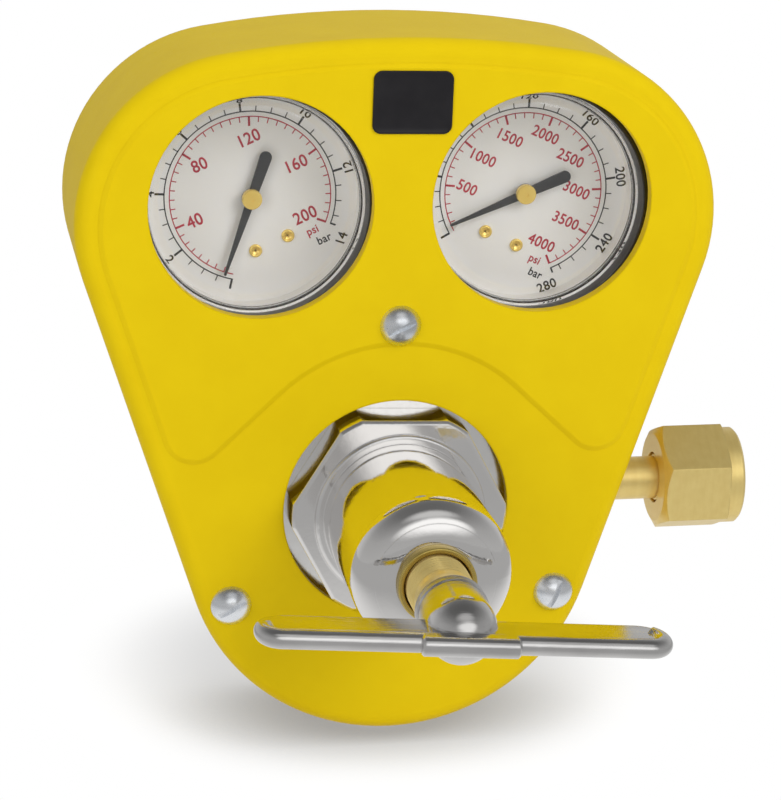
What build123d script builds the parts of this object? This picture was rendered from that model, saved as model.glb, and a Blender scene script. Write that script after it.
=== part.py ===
from build123d import *
from math import acos, atan2, cos, degrees, hypot, pi, radians, sin, sqrt, tan
import os

# Oxygen regulator with two gauges behind one die-cast cover. Millimetres.
# Everything is drawn in panel axes: x to the right, y up, z out of the cover towards the user,
# with zero on the bonnet's axis at the cover's front face. The last step turns the panel upright
# (+Z up, front towards -Y) and puts the origin at the mouth of the inlet nut.

# Cover: outline of four tangent arcs and two straight sides
corner_out = 3.0
corner_drop = 3.5
corner_r = 48.5
crown_r = 307.0
foot_y = -8.9
foot_r = 60.4
cover_depth = 51.7
cover_wall = 3.0
cover_edge_r = 4.6
cover_inner_bevel = 1.2
back_lip = 1.2

# Raised gauge panel on the cover's face
panel_inset = 6.4
panel_rise = 0.7
panel_slope = 1.3
panel_foot = 0.08
panel_arc_r = 49.0
lobe_r = 9.0
lobe_y = 24.8

# Gauges
gauge_x = 39.8
gauge_y = 87.5
window_hole_lap = 0.4
window_hole_lift = 2.1
nest_gap = 1.2
nest_wall = 1.9
nest_depth = 8.4
window_r = 31.9
window_flange = 1.5
window_bevel_width = 2.9
window_front = -10.6
window_bevel_drop = 1.9
window_edge = 0.3
window_skin = 1.5
window_skirt_end = -16.1
case_wall = 0.8
case_gap = 0.1
case_bevel = 0.5
case_lip_bevel = 0.25
case_front = -9.0
case_back = -47.5
dial_face = -24.0
dial_thick = 0.8
dial_wall = 0.9
dial_hole_r = 1.7
dial_screw_x = 5.1
dial_screw_y = -15.05
dial_screw_r = 2.3
dial_screw_head = 0.9
dial_screw_socket_r = 1.15
dial_screw_dish_r = 0.75
dial_screw_shank_r = 1.1
pointer_tip = 23.6
pointer_tail = 14.2
pointer_tail_r = 1.75
pointer_tip_r = 0.35
pointer_waist_r = 1.3
pointer_thick = 0.6
pointer_lift = 2.2
pointer_hub_r = 2.85
pointer_hub_top = 4.5
hub_bevel = 0.3
hub_mark_r = 0.6
hub_cap = 1.0
pointer_rest = 137.0
stop_pin_r = 0.5
stop_pin_inset = 2.0
arbor_r = 1.0
pinion_r = 1.2
pinion_half = 0.8
sector_ratio = 10
sector_swing = 27.0
sector_margin = 4.0
sector_half = 0.5
sector_rim = 3.0
sector_spoke_angle = 5.0
sector_hub_r = 2.2
sector_arm_x = -5.4
sector_arm_y = -2.0
sector_arm_r = 1.0
sector_arm_root_r = 1.6
mesh_gap = 0.06
plate_thick = 0.7
frame_half_width = 8.0
frame_top = 4.0
frame_reach = 20.0
frame_corner_r = 1.5
frame_pitch = 2.7
pillar_r = 1.1
pillar_inset = 1.5
bourdon_r = 22.0
bourdon_width = 8.0
bourdon_thick = 2.2
bourdon_sweep = 245.0
bourdon_root = 8.0
tube_gap = 0.6
socket_width = 12.7
socket_depth = 11.0
socket_lap = 4.0
socket_foot = 1.2
socket_root = 2.0
wrench_square = 14.3
stem_neck_r = 5.2
stem_short = 1.0
thread_run_out = 3.5

# Bonnet, its bushing and the round chamber in it
bonnet_hole_r = 32.7
hex_flats = 57.2
hex_corner_r = 31.2
hex_turn = -2.0
hex_back = -6.0
hex_front = 7.0
hex_bevel = 0.9
ring_step_width = 2.5
ring_step = 1.3
ring_round = 1.0
tower_wall = 3.7
tower_shoulder = 52.0
tower_front = 60.0
nose_round = 5.6
chamber_end = 49.0
bushing_r = 10.6
bushing_mouth_r = 9.65
bushing_mouth_depth = 3.0
bushing_flange_r = 13.4
bushing_flange = 2.4

# Adjusting screw and T-handle
screw_r = 9.0
screw_end_bevel = 1.2
screw_tail_r = 6.5
collar_z = 80.0
collar_r = 9.75
collar_h = 3.4
collar_bevel = 0.4
hub_r = 9.4
hub_nose_z = 93.5
hub_socket = 10.0
wing_span = 109.2
wing_back = 91.6
wing_rim_z = 104.0
wing_rim_r = 2.6
wing_rim_taper = 3.6
wing_web = 3.0
wing_web_inset = 0.6
wing_corner_r = 4.2
wing_heel_r = 8.0
bar_half = 12.8
bar_proud = 2.1
bar_round = 2.2
bar_edge = 0.6
handle_turn = -4.5

# Spring and diaphragm stack
neck_r = 24.4
neck_land = 5.8
neck_lip = 4.9
neck_top = 1.2
diaphragm_thick = 1.2
slip_ring_thick = 1.2
slip_ring_width = 5.45
low_chamber_floor = -5.5
plate_room = 1.4
plate_h = 2.8
pad_r = 7.0
pad_h = 2.0
spring_inset = 1.4
spring_wire_r = 1.8
spring_turns = 6.0
button_margin = 2.0
button_h = 4.7
button_gap = 0.05
button_room = 1.6
button_bevel = 1.5
button_spigot = 4.0
plate_spigot = 3.0
spigot_bevel = 1.0
chords_per_turn = 12
ground_share = 0.6
pin_r = 1.4

# Valve
nozzle_r = 4.5
nozzle_bore_r = 2.2
nozzle_lip_r = 3.2
nozzle_top = -4.8
nozzle_end = -11.5
seat_plane = -12.2
seat_r = 4.2
seat_thick = 2.0
poppet_r = 5.6
poppet_end = -19.0
poppet_stem_r = 2.5
poppet_stem = 4.0
seat_recess = 0.8
valve_spring_r = 4.3
valve_spring_wire_r = 0.45
valve_spring_turns = 5.0

# Body
body_shoulder = -8.5
shoulder_r = 30.5
shoulder_end = -14.0
barrel_r = 27.0
barrel_bevel = 3.0
shoulder_slope = 2.0
body_back = -45.0
high_chamber_r = 8.5
high_chamber_top = -11.0
cap_thread_r = 9.6
cap_seat = -33.5
cap_flats = 22.2
cap_flange_r = 13.4
cap_head = 3.2
cap_flange = 1.6
cap_bevel = 0.8
cap_guide = 6.0
washer_thick = 1.0
washer_inset = 0.4
washer_gap = 0.2
body_seam = -45.0
boss_reach = 40.0
boss_r = 9.5
port_r = 6.55
port_floor = 30.5
passage_r = 1.6
inlet_passage_r = 3.2
passage_offset = 14.6

# Inlet on the right, pointing along +x
inlet_z = -20.0
nipple_r = 6.35
nipple_bore_r = 2.5
nut_flats = 28.575
nut_length = 24.7
nut_collar = 4.7
nut_mouth = 106.7
nut_turn = 4.7
nut_collar_bevel = 0.7
nut_face_r = 13.1
nut_bevel_angle = 30.0
nut_edge = 0.6
nut_hole_r = 7.6
nut_wall = 4.4
nut_thread_r = 11.47
nipple_head_r = 9.6
nipple_head = 2.6
nipple_head_slope = 1.0
nipple_nose_r = 6.2
nose_recess = 6.2
filter_recess = 2.07
filter_r = 3.1
filter_length = 10.0

# Outlet, pointing down, and the relief valve, pointing left
outlet_z = -26.0
outlet_thread_r = 7.14
outlet_root = 0.9
outlet_end = 73.5
outlet_thread = 11.0
outlet_flats = 17.5
outlet_hex = 9.0
outlet_turn = 30.0
outlet_bore_r = 3.2
outlet_cone_r = 5.2
relief_z = -16.0
relief_reach = 37.0
relief_boss_r = 7.0
relief_thread_r = 4.6
relief_flats = 12.7
relief_hex = 4.5
relief_r = 5.6
relief_length = 15.0
relief_bore_r = 2.6
vent_r = 0.9
vent_inset = 4.0
relief_cap_r = 6.4
relief_cap_h = 4.5
relief_cap_bevel = 0.8

# Cover fixings: three slotted screws into clinch nuts on a three-armed bracket
screw_circle_r = 55.0
fixing_angles = (0.0, 120.0, -120.0)
slot_angles = (24.0, 33.0, 68.0)
fixing_r = 3.1
fixing_hole_r = 3.4
fixing_head_r = 5.9
fixing_head_h = 3.7
fixing_slot = 1.5
fixing_slot_depth = 1.7
fixing_length = 15.0
boss_wall_r = 8.0
bracket_thick = 2.5
bracket_r = 36.0
arm_root_r = 27.0
clinch_r = 5.3
clinch_h = 5.5
opening_gap = 1.65
outlet_slot_r = 13.0
rib_thick = 2.0
rib_angles = (10.0, 60.0, 110.0)
rib_depth = 7.0

# Clearances
thread_gap = 0.05
running_gap = 0.05
press_gap = 0.02
stand_off = 0.3


def rod(radius, low, high, x=0.0, y=0.0):
    """Cylinder along z from low to high."""
    blank = Cylinder(radius, high - low, align=(Align.CENTER, Align.CENTER, Align.MIN))
    return Pos(x, y, low) * blank


def ring(outer, inner, low, high, x=0.0, y=0.0):
    """Hollow cylinder along z."""
    return rod(outer, low, high, x, y) - rod(inner, low, high, x, y)


def turned(points):
    """Solid of revolution about z from (radius, height) points."""
    return revolve(Plane.XZ * make_face(Polyline(*points, close=True)), Axis.Z)


def hexagon(flats, low, high, turn=0.0):
    """Hexagonal prism along z, with one flat facing up when turn is zero."""
    face = RegularPolygon(flats / 2, 6, major_radius=False, rotation=turn)
    return Pos(0, 0, low) * extrude(face, high - low)


def spoke(shape, angle, height=0.0):
    """Lays a shape drawn along z onto a radius, angle degrees round from the top."""
    return Pos(0, 0, height) * Rot(0, 0, angle) * Rot(-90, 0, 0) * shape


def polar(radius, angle):
    """Point at a radius, angle degrees round from the top."""
    return (-radius * sin(radians(angle)), radius * cos(radians(angle)))


def side_normal():
    """Outward normal of the cover's straight right side, tangent to corner and foot arcs."""
    dx = corner_x
    dy = corner_y - foot_y
    angle = atan2(dy, dx) - acos((foot_r - corner_r) / hypot(dx, dy))
    return (cos(angle), sin(angle))


def side_offset():
    """Distance of the straight side from the bonnet's axis."""
    nx, ny = side_normal()
    return corner_x * nx + corner_y * ny + corner_r


def side_room(x, y):
    """How far a point on the right half lies inside the straight side."""
    nx, ny = side_normal()
    return side_offset() - x * nx - y * ny


def crown_centre():
    """Height of the crown arc's centre, so that it is tangent to both corner arcs."""
    return corner_y - sqrt((crown_r - corner_r) ** 2 - corner_x**2)


def upper_edges(inset):
    """Crown, corners and the tops of the straight sides, from the left side to the right."""
    nx, ny = side_normal()
    radius = corner_r - inset
    crown_y = crown_centre()
    top = (0.0, crown_y + crown_r - inset)
    share = (crown_r - inset) / (crown_r - corner_r)
    join = (corner_x * share, crown_y + (corner_y - crown_y) * share)
    side = (corner_x + nx * radius, corner_y + ny * radius)
    start = atan2(join[1] - corner_y, join[0] - corner_x)
    middle = (start + atan2(ny, nx)) / 2
    bend = (corner_x + radius * cos(middle), corner_y + radius * sin(middle))
    crown = ThreePointArc((-join[0], join[1]), top, join)
    right = ThreePointArc(join, bend, side)
    left = ThreePointArc((-side[0], side[1]), (-bend[0], bend[1]), (-join[0], join[1]))
    return left, crown, right, side


def outline(inset):
    """Face of the cover's outline, drawn in by inset."""
    nx, ny = side_normal()
    left, crown, right, side = upper_edges(inset)
    radius = foot_r - inset
    heel = (nx * radius, foot_y + ny * radius)
    foot = ThreePointArc(heel, (0.0, foot_y - radius), (-heel[0], heel[1]))
    right_side = Line(side, heel)
    left_side = Line((-heel[0], heel[1]), (-side[0], side[1]))
    return make_face([left, crown, right, right_side, foot, left_side])


def panel_face():
    """Face of the raised gauge panel: cover outline above, arc round the bonnet below."""
    nx, ny = side_normal()
    left, crown, right, side = upper_edges(panel_inset)
    lobe_x = (side_offset() - panel_inset - lobe_r - lobe_y * ny) / nx
    reach = hypot(lobe_x, lobe_y)
    lean = atan2(lobe_y, lobe_x) + acos((panel_arc_r + lobe_r) / reach)
    ux, uy = cos(lean), sin(lean)
    outer = (lobe_x + lobe_r * nx, lobe_y + lobe_r * ny)
    inner = (lobe_x - lobe_r * ux, lobe_y - lobe_r * uy)
    root = (panel_arc_r * ux, panel_arc_r * uy)
    low = (lobe_x, lobe_y - lobe_r)
    edges = [left, crown, right, Line(side, outer), ThreePointArc(outer, low, inner)]
    edges.append(Line(inner, root))
    edges.append(ThreePointArc(root, (0.0, panel_arc_r), (-root[0], root[1])))
    edges.append(Line((-root[0], root[1]), (-inner[0], inner[1])))
    edges.append(ThreePointArc((-inner[0], inner[1]), (-low[0], low[1]), (-outer[0], outer[1])))
    edges.append(Line((-outer[0], outer[1]), (-side[0], side[1])))
    return make_face(edges)


# Places worked out from the sizes above
corner_x = gauge_x + corner_out
corner_y = gauge_y - corner_drop
gauge_reach = hypot(gauge_x, gauge_y)
gauge_lean = degrees(atan2(gauge_x, gauge_y))
hole_y = gauge_y + window_hole_lift
window_hole_r = window_r - window_hole_lap
window_flange_r = window_r - window_flange
window_flat_r = window_flange_r - window_bevel_width
case_r = window_r + case_gap + case_wall
nest_r = case_r + nest_gap
stem_plane = dial_face - dial_thick - plate_thick * 2 - frame_pitch - bourdon_width / 2 - tube_gap
boss_z = hex_back
chamber_r = neck_r - neck_land
low_chamber_r = neck_r - neck_lip
tower_r = chamber_r + tower_wall
nose_flat_r = tower_r - nose_round
ring_step_r = tower_r + ring_step_width
slip_ring_r = neck_r - thread_gap - slip_ring_width
plate_r = chamber_r - plate_room
button_r = chamber_r - button_margin
spring_mean_r = button_r - spring_inset - spring_wire_r
diaphragm_low = neck_top
plate_low = neck_top + diaphragm_thick
shoulder_z = plate_low + slip_ring_thick
spring_low = plate_low + plate_h
button_top = chamber_end - bushing_flange - button_room
spring_high = button_top - button_h
sector_r = pinion_r * sector_ratio
sector_y = -(pinion_r + sector_r + mesh_gap)
fixing_points = [polar(screw_circle_r, angle) for angle in fixing_angles]
arm_r = min(side_room(abs(x), y) for x, y in fixing_points) - cover_wall - 2 * stand_off
fixing_seats = (panel_rise, 0.0, 0.0)
nut_face = nut_mouth - nut_length
nut_hex_end = nut_mouth - nut_collar
nipple_nose_end = nut_mouth - nose_recess
filter_seat = nipple_nose_end - filter_recess - filter_length
outlet_angle = 180.0
inlet_angle = -90.0
relief_angle = 90.0


def make_cover():
    """Open-backed die-cast shell with nests round the gauge cases, bosses, ribs and slots."""
    shell = Pos(0, 0, -cover_depth) * extrude(outline(0.0), cover_depth)
    front = shell.faces().sort_by(Axis.Z)[-1]
    shell = fillet(front.edges(), cover_edge_r)
    hollow = Pos(0, 0, -cover_depth) * extrude(outline(cover_wall), cover_depth - cover_wall)
    ceiling = hollow.faces().sort_by(Axis.Z)[-1]
    hollow = chamfer(ceiling.edges(), cover_inner_bevel)
    rebate = Pos(0, 0, -cover_depth) * extrude(outline(cover_wall - back_lip), back_lip)
    panel = extrude(panel_face(), panel_rise)
    top = panel.faces().sort_by(Axis.Z)[-1]
    panel = chamfer(top.edges(), panel_slope, panel_rise - panel_foot, reference=top)
    cover = shell - hollow - rebate + panel

    inner_roof = -cover_wall
    for side in (-1, 1):
        x = side * gauge_x
        cover += rod(nest_r + nest_wall, inner_roof - nest_depth, inner_roof, x, gauge_y)
    for x, y in fixing_points:
        cover += rod(boss_wall_r, boss_z, inner_roof, x, y)
    cover += make_ribs(inner_roof)
    for side in (-1, 1):
        x = side * gauge_x
        cover -= rod(nest_r, inner_roof - nest_depth, inner_roof, x, gauge_y)
        cover -= rod(window_hole_r, inner_roof, panel_rise, x, hole_y)
    for x, y in fixing_points:
        cover -= rod(fixing_hole_r, boss_z, panel_rise, x, y)
    cover -= rod(bonnet_hole_r, inner_roof, panel_rise)
    cover -= wall_slot(nipple_r + opening_gap, inlet_z, inlet_angle)
    cover -= wall_slot(outlet_slot_r, outlet_z, outlet_angle)
    return cover


def make_ribs(roof):
    """Stiffening ribs from the nests to the walls and a spine over the top screw."""
    blade = Box(rib_thick, corner_r, rib_depth, align=(Align.CENTER, Align.MIN, Align.MAX))
    start = screw_circle_r + arm_r + stand_off
    height = crown_centre() + crown_r - start
    ribs = Pos(0, start, roof) * Box(rib_thick, height, rib_depth,
                                     align=(Align.CENTER, Align.MIN, Align.MAX))
    for side in (-1, 1):
        for angle in rib_angles:
            ribs += Pos(side * gauge_x, gauge_y, roof) * Rot(0, 0, -side * angle) * blade
    for side in (-1, 1):
        x = side * gauge_x
        ribs -= rod(nest_r + nest_wall / 2, roof - rib_depth, roof, x, gauge_y)
    room = Pos(0, 0, roof - rib_depth) * extrude(outline(cover_wall / 2), rib_depth)
    return ribs & room


def wall_slot(radius, height, angle):
    """U-shaped slot through a side wall, open at the back, so the cover lifts off forwards."""
    reach = corner_r + corner_x
    near = bracket_r + boss_r
    bore = Pos(0, 0, near) * Cylinder(radius, reach, align=(Align.CENTER, Align.CENTER, Align.MIN))
    throat_depth = cover_depth + height
    throat = Box(2 * radius, throat_depth, reach, align=(Align.CENTER, Align.MIN, Align.MIN))
    return spoke(bore + Pos(0, 0, near) * throat, angle, height)


def make_cover_screws():
    """Three round-head slotted screws, each with its own slot angle."""
    screws = []
    dome_r = (fixing_head_r**2 + fixing_head_h**2) / (2 * fixing_head_h)
    for (x, y), seat, turn in zip(fixing_points, fixing_seats, slot_angles):
        dome = Pos(0, 0, fixing_head_h - dome_r) * Sphere(dome_r)
        head = dome & rod(fixing_head_r, 0, fixing_head_h)
        slot = Box(4 * fixing_head_r, fixing_slot, 2 * fixing_slot_depth)
        head -= Pos(0, 0, fixing_head_h) * Rot(0, 0, turn) * slot
        screws.append(Pos(x, y, seat) * (head + rod(fixing_r, -fixing_length, 0)))
    return Compound(children=screws)


def make_bracket():
    """Pressed plate under the bonnet's hexagon, with an arm to each cover screw."""
    plate = Circle(bracket_r)
    for x, y in fixing_points:
        arm = make_hull(Circle(arm_root_r).edges() + (Pos(x, y) * Circle(arm_r)).edges())
        plate += arm
    plate = extrude(plate, bracket_thick)
    plate = Pos(0, 0, body_shoulder) * plate
    plate -= rod(neck_r + thread_gap, body_shoulder, hex_back)
    for x, y in fixing_points:
        plate -= rod(fixing_hole_r, body_shoulder, hex_back, x, y)
    return plate


def make_clinch_nuts():
    """Three clinch nuts behind the bracket's arms."""
    nuts = []
    for x, y in fixing_points:
        nut = ring(clinch_r, fixing_r + thread_gap, body_shoulder - clinch_h, body_shoulder, x, y)
        nuts.append(nut)
    return Compound(children=nuts)


def port_cut(angle, height):
    """Threaded port in the end of a boss."""
    return spoke(rod(port_r, port_floor, boss_reach + 1), angle, height)


def make_body():
    """Forged brass body: neck for the bonnet, barrel, five bosses and their passages."""
    profile = [(0, body_back), (barrel_r - barrel_bevel, body_back), (barrel_r, body_back + barrel_bevel)]
    profile += [(barrel_r, shoulder_end - shoulder_slope), (shoulder_r, shoulder_end)]
    profile += [(shoulder_r, body_shoulder)]
    profile += [(neck_r, body_shoulder), (neck_r, neck_top), (0, neck_top)]
    body = Rot(0, 0, body_seam) * turned(profile)
    bosses = [(gauge_lean, stem_plane), (-gauge_lean, stem_plane)]
    bosses += [(inlet_angle, inlet_z), (outlet_angle, outlet_z)]
    for angle, height in bosses:
        body += spoke(rod(boss_r, barrel_r / 2, boss_reach), angle, height)
    body += spoke(rod(relief_boss_r, barrel_r / 2, relief_reach), relief_angle, relief_z)

    body -= rod(low_chamber_r, low_chamber_floor, neck_top)
    body -= rod(nozzle_r, high_chamber_top, low_chamber_floor)
    body -= rod(high_chamber_r, cap_seat, high_chamber_top)
    body -= rod(cap_thread_r, body_back, cap_seat)
    for angle, height in bosses:
        body -= port_cut(angle, height)
    body -= spoke(rod(relief_thread_r, port_floor, relief_reach + 1), relief_angle, relief_z)

    body -= spoke(rod(inlet_passage_r, 0, port_floor), inlet_angle, inlet_z)
    body -= spoke(rod(passage_r, 0, port_floor), -gauge_lean, stem_plane)
    low_side = [(gauge_lean, stem_plane), (outlet_angle, outlet_z), (relief_angle, relief_z)]
    for angle, height in low_side:
        x, y = polar(passage_offset, angle)
        body -= spoke(rod(passage_r, passage_offset, port_floor), angle, height)
        body -= rod(passage_r, height, low_chamber_floor, x, y)
    return body


def make_bonnet():
    """Chrome-plated bonnet: hexagon that screws over the body's neck, tower and rounded nose."""
    hexa = hexagon(hex_flats, hex_back, hex_front, hex_turn) & rod(hex_corner_r, hex_back, hex_front)
    hexa = chamfer(hexa.faces().sort_by(Axis.Z)[-1].edges(), hex_bevel)
    top = hex_front + ring_step
    ring_top_r = ring_step_r - ring_round
    foot = Polyline((0, hex_back), (neck_r, hex_back), (neck_r, hex_front), (ring_step_r, hex_front),
                    (ring_step_r, top - ring_round))
    bead = TangentArc((ring_step_r, top - ring_round), (ring_top_r, top), tangent=(0, 1))
    side = Polyline((ring_top_r, top), (tower_r, top), (tower_r, tower_shoulder))
    nose = TangentArc((tower_r, tower_shoulder), (nose_flat_r, tower_front), tangent=(0, 1))
    lid = Polyline((nose_flat_r, tower_front), (0, tower_front), (0, hex_back))
    tower = revolve(Plane.XZ * make_face([foot, bead, side, nose, lid]), Axis.Z)
    bonnet = hexa + tower
    bonnet -= rod(neck_r + thread_gap, hex_back, shoulder_z)
    bonnet -= rod(chamber_r, shoulder_z, chamber_end)
    bonnet -= rod(bushing_r + press_gap, chamber_end, tower_front)
    return bonnet


def make_bushing():
    """Brass bushing that carries the adjusting screw, with an inner flange and an open mouth."""
    bore = screw_r + running_gap
    top = tower_front + stand_off
    points = [(bore, chamber_end - bushing_flange), (bushing_flange_r, chamber_end - bushing_flange)]
    points += [(bushing_flange_r, chamber_end), (bushing_r, chamber_end), (bushing_r, top)]
    points += [(bushing_mouth_r, top), (bushing_mouth_r, top - bushing_mouth_depth)]
    points += [(bore, top - bushing_mouth_depth - (bushing_mouth_r - bore))]
    return turned(points)


def make_adjusting_screw():
    """Brass adjusting screw with a turned-down tail in the handle's hub."""
    low = button_top + button_gap
    points = [(0, low), (screw_r - screw_end_bevel, low), (screw_r, low + screw_end_bevel)]
    points += [(screw_r, collar_z), (screw_tail_r, collar_z)]
    points += [(screw_tail_r, collar_z + hub_socket), (0, collar_z + hub_socket)]
    return turned(points)


def make_handle():
    """Cast T-handle: collar and bullet-nosed hub, two flat wings and a round rim along them."""
    hub = rod(hub_r, collar_z, hub_nose_z) + Pos(0, 0, hub_nose_z) * Sphere(hub_r)
    collar = chamfer(rod(collar_r, collar_z, collar_z + collar_h).edges(), collar_bevel)
    handle = hub + collar + make_wings() + make_bar()
    handle -= rod(screw_tail_r + press_gap, collar_z, collar_z + hub_socket + press_gap)
    return Rot(0, 0, handle_turn) * handle


def wing_edge(reach, low):
    """Line along the wings' front and down both ends to a height."""
    return FilletPolyline((-reach, low), (-reach, wing_rim_z), (reach, wing_rim_z), (reach, low),
                          radius=wing_corner_r)


def heel_arc(side, middle_x, middle_z, radius, share):
    """Arc round a wing's heel, from its outer side down by a share of a quarter turn."""
    def spot(part):
        angle = part * pi / 2
        return side * (middle_x + radius * cos(angle)), middle_z - radius * sin(angle)
    return ThreePointArc(spot(share), spot(share / 2), spot(0))


def make_wings():
    """Flat web of both wings, and the round rim that wraps round its ends and along its front."""
    reach = wing_span / 2 - wing_web_inset
    heel_x = reach - wing_heel_r
    heel_z = wing_back + wing_heel_r
    back = Line((heel_x, wing_back), (-heel_x, wing_back))
    heels = [heel_arc(side, heel_x, heel_z, wing_heel_r, 1) for side in (-1, 1)]
    outline_face = make_face([wing_edge(reach, heel_z), back, *heels])
    web = extrude(Plane.XZ * outline_face, wing_web / 2, both=True)
    rim_reach = wing_span / 2 - wing_rim_r
    tails = [heel_arc(side, heel_x, heel_z, rim_reach - heel_x, 0.5) for side in (-1, 1)]
    path = Plane.XZ * Wire([*tails[0].edges(), *wing_edge(rim_reach, heel_z).edges(), *tails[1].edges()])
    rim = sweep(Plane(origin=path @ 0, z_dir=path % 0) * Circle(wing_rim_r), path=path)
    for end in rim.faces().sort_by(Axis.Z)[:2]:
        rim = chamfer(end.edges(), wing_rim_r - wing_web / 2, wing_rim_taper, reference=end)
    return web + rim


def make_bar():
    """Thicker middle of the rim, standing a little proud of it."""
    section = RectangleRounded(2 * wing_rim_r, 2 * wing_rim_r + bar_proud, bar_round)
    section = Pos(0, wing_rim_z + bar_proud / 2) * section
    bar = extrude(Plane.YZ * section, bar_half, both=True)
    return chamfer(bar.faces().filter_by(Axis.X).edges(), bar_edge)


def guide_r():
    """Radius that fits inside the adjusting spring's chords."""
    return spring_mean_r * cos(pi / chords_per_turn) - spring_wire_r - stand_off


def make_button():
    """Spring button: seat for the spring below, seat for the screw above."""
    inner = guide_r()
    low = spring_high - button_spigot
    points = [(0, low), (inner - spigot_bevel, low), (inner, low + spigot_bevel)]
    points += [(inner, spring_high), (button_r, spring_high), (button_r, button_top - button_bevel)]
    points += [(button_r - button_bevel, button_top), (0, button_top)]
    return turned(points)


def coil(mean_r, wire_r, low, high, turns):
    """Coil spring between two planes, its ends ground flat, bent in short straight chords."""
    start = low + wire_r * ground_share
    rise = high - low - 2 * wire_r * ground_share
    count = round(turns * chords_per_turn)
    points = []
    for step in range(count + 1):
        angle = 2 * pi * step / chords_per_turn
        points.append((mean_r * cos(angle), mean_r * sin(angle), start + rise * step / count))
    path = Polyline(*points)
    section = Plane(origin=path @ 0, z_dir=path % 0) * RegularPolygon(wire_r, 6)
    wire = sweep(section, path=path, transition=Transition.RIGHT)
    return wire & rod(mean_r + 2 * wire_r, low, high)


def make_diaphragm_plate():
    """Plate on the diaphragm that centres the spring."""
    inner = guide_r()
    top = spring_low + plate_spigot
    bevel = spigot_bevel
    points = [(0, plate_low), (plate_r - bevel, plate_low), (plate_r, plate_low + bevel)]
    points += [(plate_r, spring_low), (inner, spring_low), (inner, top - bevel)]
    points += [(inner - bevel, top), (0, top)]
    return turned(points)


def make_push_pin():
    """Pad under the diaphragm with the pin that opens the valve."""
    pad_low = neck_top - pad_h
    points = [(0, seat_plane), (pin_r, seat_plane), (pin_r, pad_low), (pad_r, pad_low)]
    points += [(pad_r, neck_top), (0, neck_top)]
    return turned(points)


def make_nozzle():
    """Valve nozzle pressed into the body's web, with a raised lip for the seat."""
    outer = nozzle_r - press_gap
    points = [(nozzle_bore_r, seat_plane), (nozzle_lip_r, seat_plane), (nozzle_lip_r, nozzle_end)]
    points += [(outer, nozzle_end), (outer, nozzle_top), (nozzle_bore_r, nozzle_top)]
    return turned(points)


def make_poppet():
    """Seat holder with a guide stem that runs in the back cap."""
    cup = seat_plane - seat_thick
    end = cap_seat - poppet_stem
    points = [(0, end), (poppet_stem_r, end), (poppet_stem_r, poppet_end), (poppet_r, poppet_end)]
    rim = seat_plane - seat_recess
    points += [(poppet_r, rim), (seat_r + press_gap, rim)]
    points += [(seat_r + press_gap, cup), (0, cup)]
    return turned(points)


def make_back_cap():
    """Threaded plug at the back of the body, bored to guide the poppet."""
    flange = body_back - washer_thick
    base = flange - cap_flange
    cap = rod(cap_thread_r - thread_gap, flange, cap_seat) + rod(cap_flange_r, base, flange)
    head = hexagon(cap_flats, base - cap_head, base)
    head = chamfer(head.faces().sort_by(Axis.Z)[0].edges(), cap_bevel)
    return cap + head - rod(poppet_stem_r + running_gap, cap_seat - cap_guide, cap_seat)


def make_nipple():
    """Inlet nipple: threaded root, plain shaft, collar that the nut pulls on and rounded nose."""
    head = nut_face + nut_wall + stand_off
    nose = nipple_nose_end - nipple_nose_r
    outer = Polyline((0, port_floor), (port_r - thread_gap, port_floor),
                     (port_r - thread_gap, boss_reach), (nipple_r, boss_reach), (nipple_r, head),
                     (nipple_head_r, head), (nipple_head_r, head + nipple_head),
                     (nipple_nose_r, head + nipple_head + nipple_head_slope), (nipple_nose_r, nose))
    tip = CenterArc((0, nose), nipple_nose_r, 0, 90)
    core = Line((0, nipple_nose_end), (0, port_floor))
    nipple = revolve(Plane.XZ * make_face([outer, tip, core]), Axis.Z)
    nipple -= rod(nipple_bore_r, port_floor, nipple_nose_end)
    return nipple - rod(filter_r + press_gap, filter_seat, nipple_nose_end)


def make_filter():
    """Sintered filter plug in the nipple's nose."""
    return rod(filter_r, filter_seat, filter_seat + filter_length)


def make_inlet_nut():
    """Union nut: chamfered hexagon, turned collar, clearance hole for the nipple, threaded mouth."""
    half = nut_flats / 2
    corner = half / cos(pi / 6)
    rise = (corner - nut_face_r) * tan(radians(nut_bevel_angle))
    hexa = hexagon(nut_flats, nut_face, nut_hex_end, nut_turn)
    hexa &= turned([(0, nut_face), (nut_face_r, nut_face), (corner, nut_face + rise),
                    (corner, nut_hex_end - nut_edge / 2), (corner - nut_edge, nut_hex_end),
                    (0, nut_hex_end)])
    collar = rod(half, nut_hex_end - nut_edge, nut_mouth)
    collar = chamfer(collar.faces().sort_by(Axis.Z)[-1].edges(), nut_collar_bevel)
    nut = hexa + collar
    cavity = nut_face + nut_wall
    nut -= rod(nut_hole_r, nut_face, cavity)
    nut -= rod(nut_thread_r, cavity, nut_mouth)
    return nut


def make_outlet():
    """Outlet fitting with a hexagon, a male thread and a coned seat."""
    start = boss_reach
    stem = rod(port_r - thread_gap, port_floor, start)
    hexa = hexagon(outlet_flats, start, start + outlet_hex, outlet_turn)
    hexa &= turned([(0, start), (outlet_flats / 2, start), (outlet_flats, start + outlet_flats / 3),
                    (outlet_flats, start + outlet_hex), (0, start + outlet_hex)])
    neck = rod(outlet_thread_r - outlet_root, start + outlet_hex, outlet_end - outlet_thread)
    thread = rod(outlet_thread_r, outlet_end - outlet_thread, outlet_end)
    thread = chamfer(thread.faces().sort_by(Axis.Z)[-1].edges(), outlet_root)
    cone_depth = outlet_cone_r - outlet_bore_r
    cone = Cone(outlet_bore_r, outlet_cone_r, cone_depth, align=(Align.CENTER, Align.CENTER, Align.MAX))
    bore = rod(outlet_bore_r, port_floor, outlet_end) + Pos(0, 0, outlet_end) * cone
    return stem + hexa + neck + thread - bore


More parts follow.
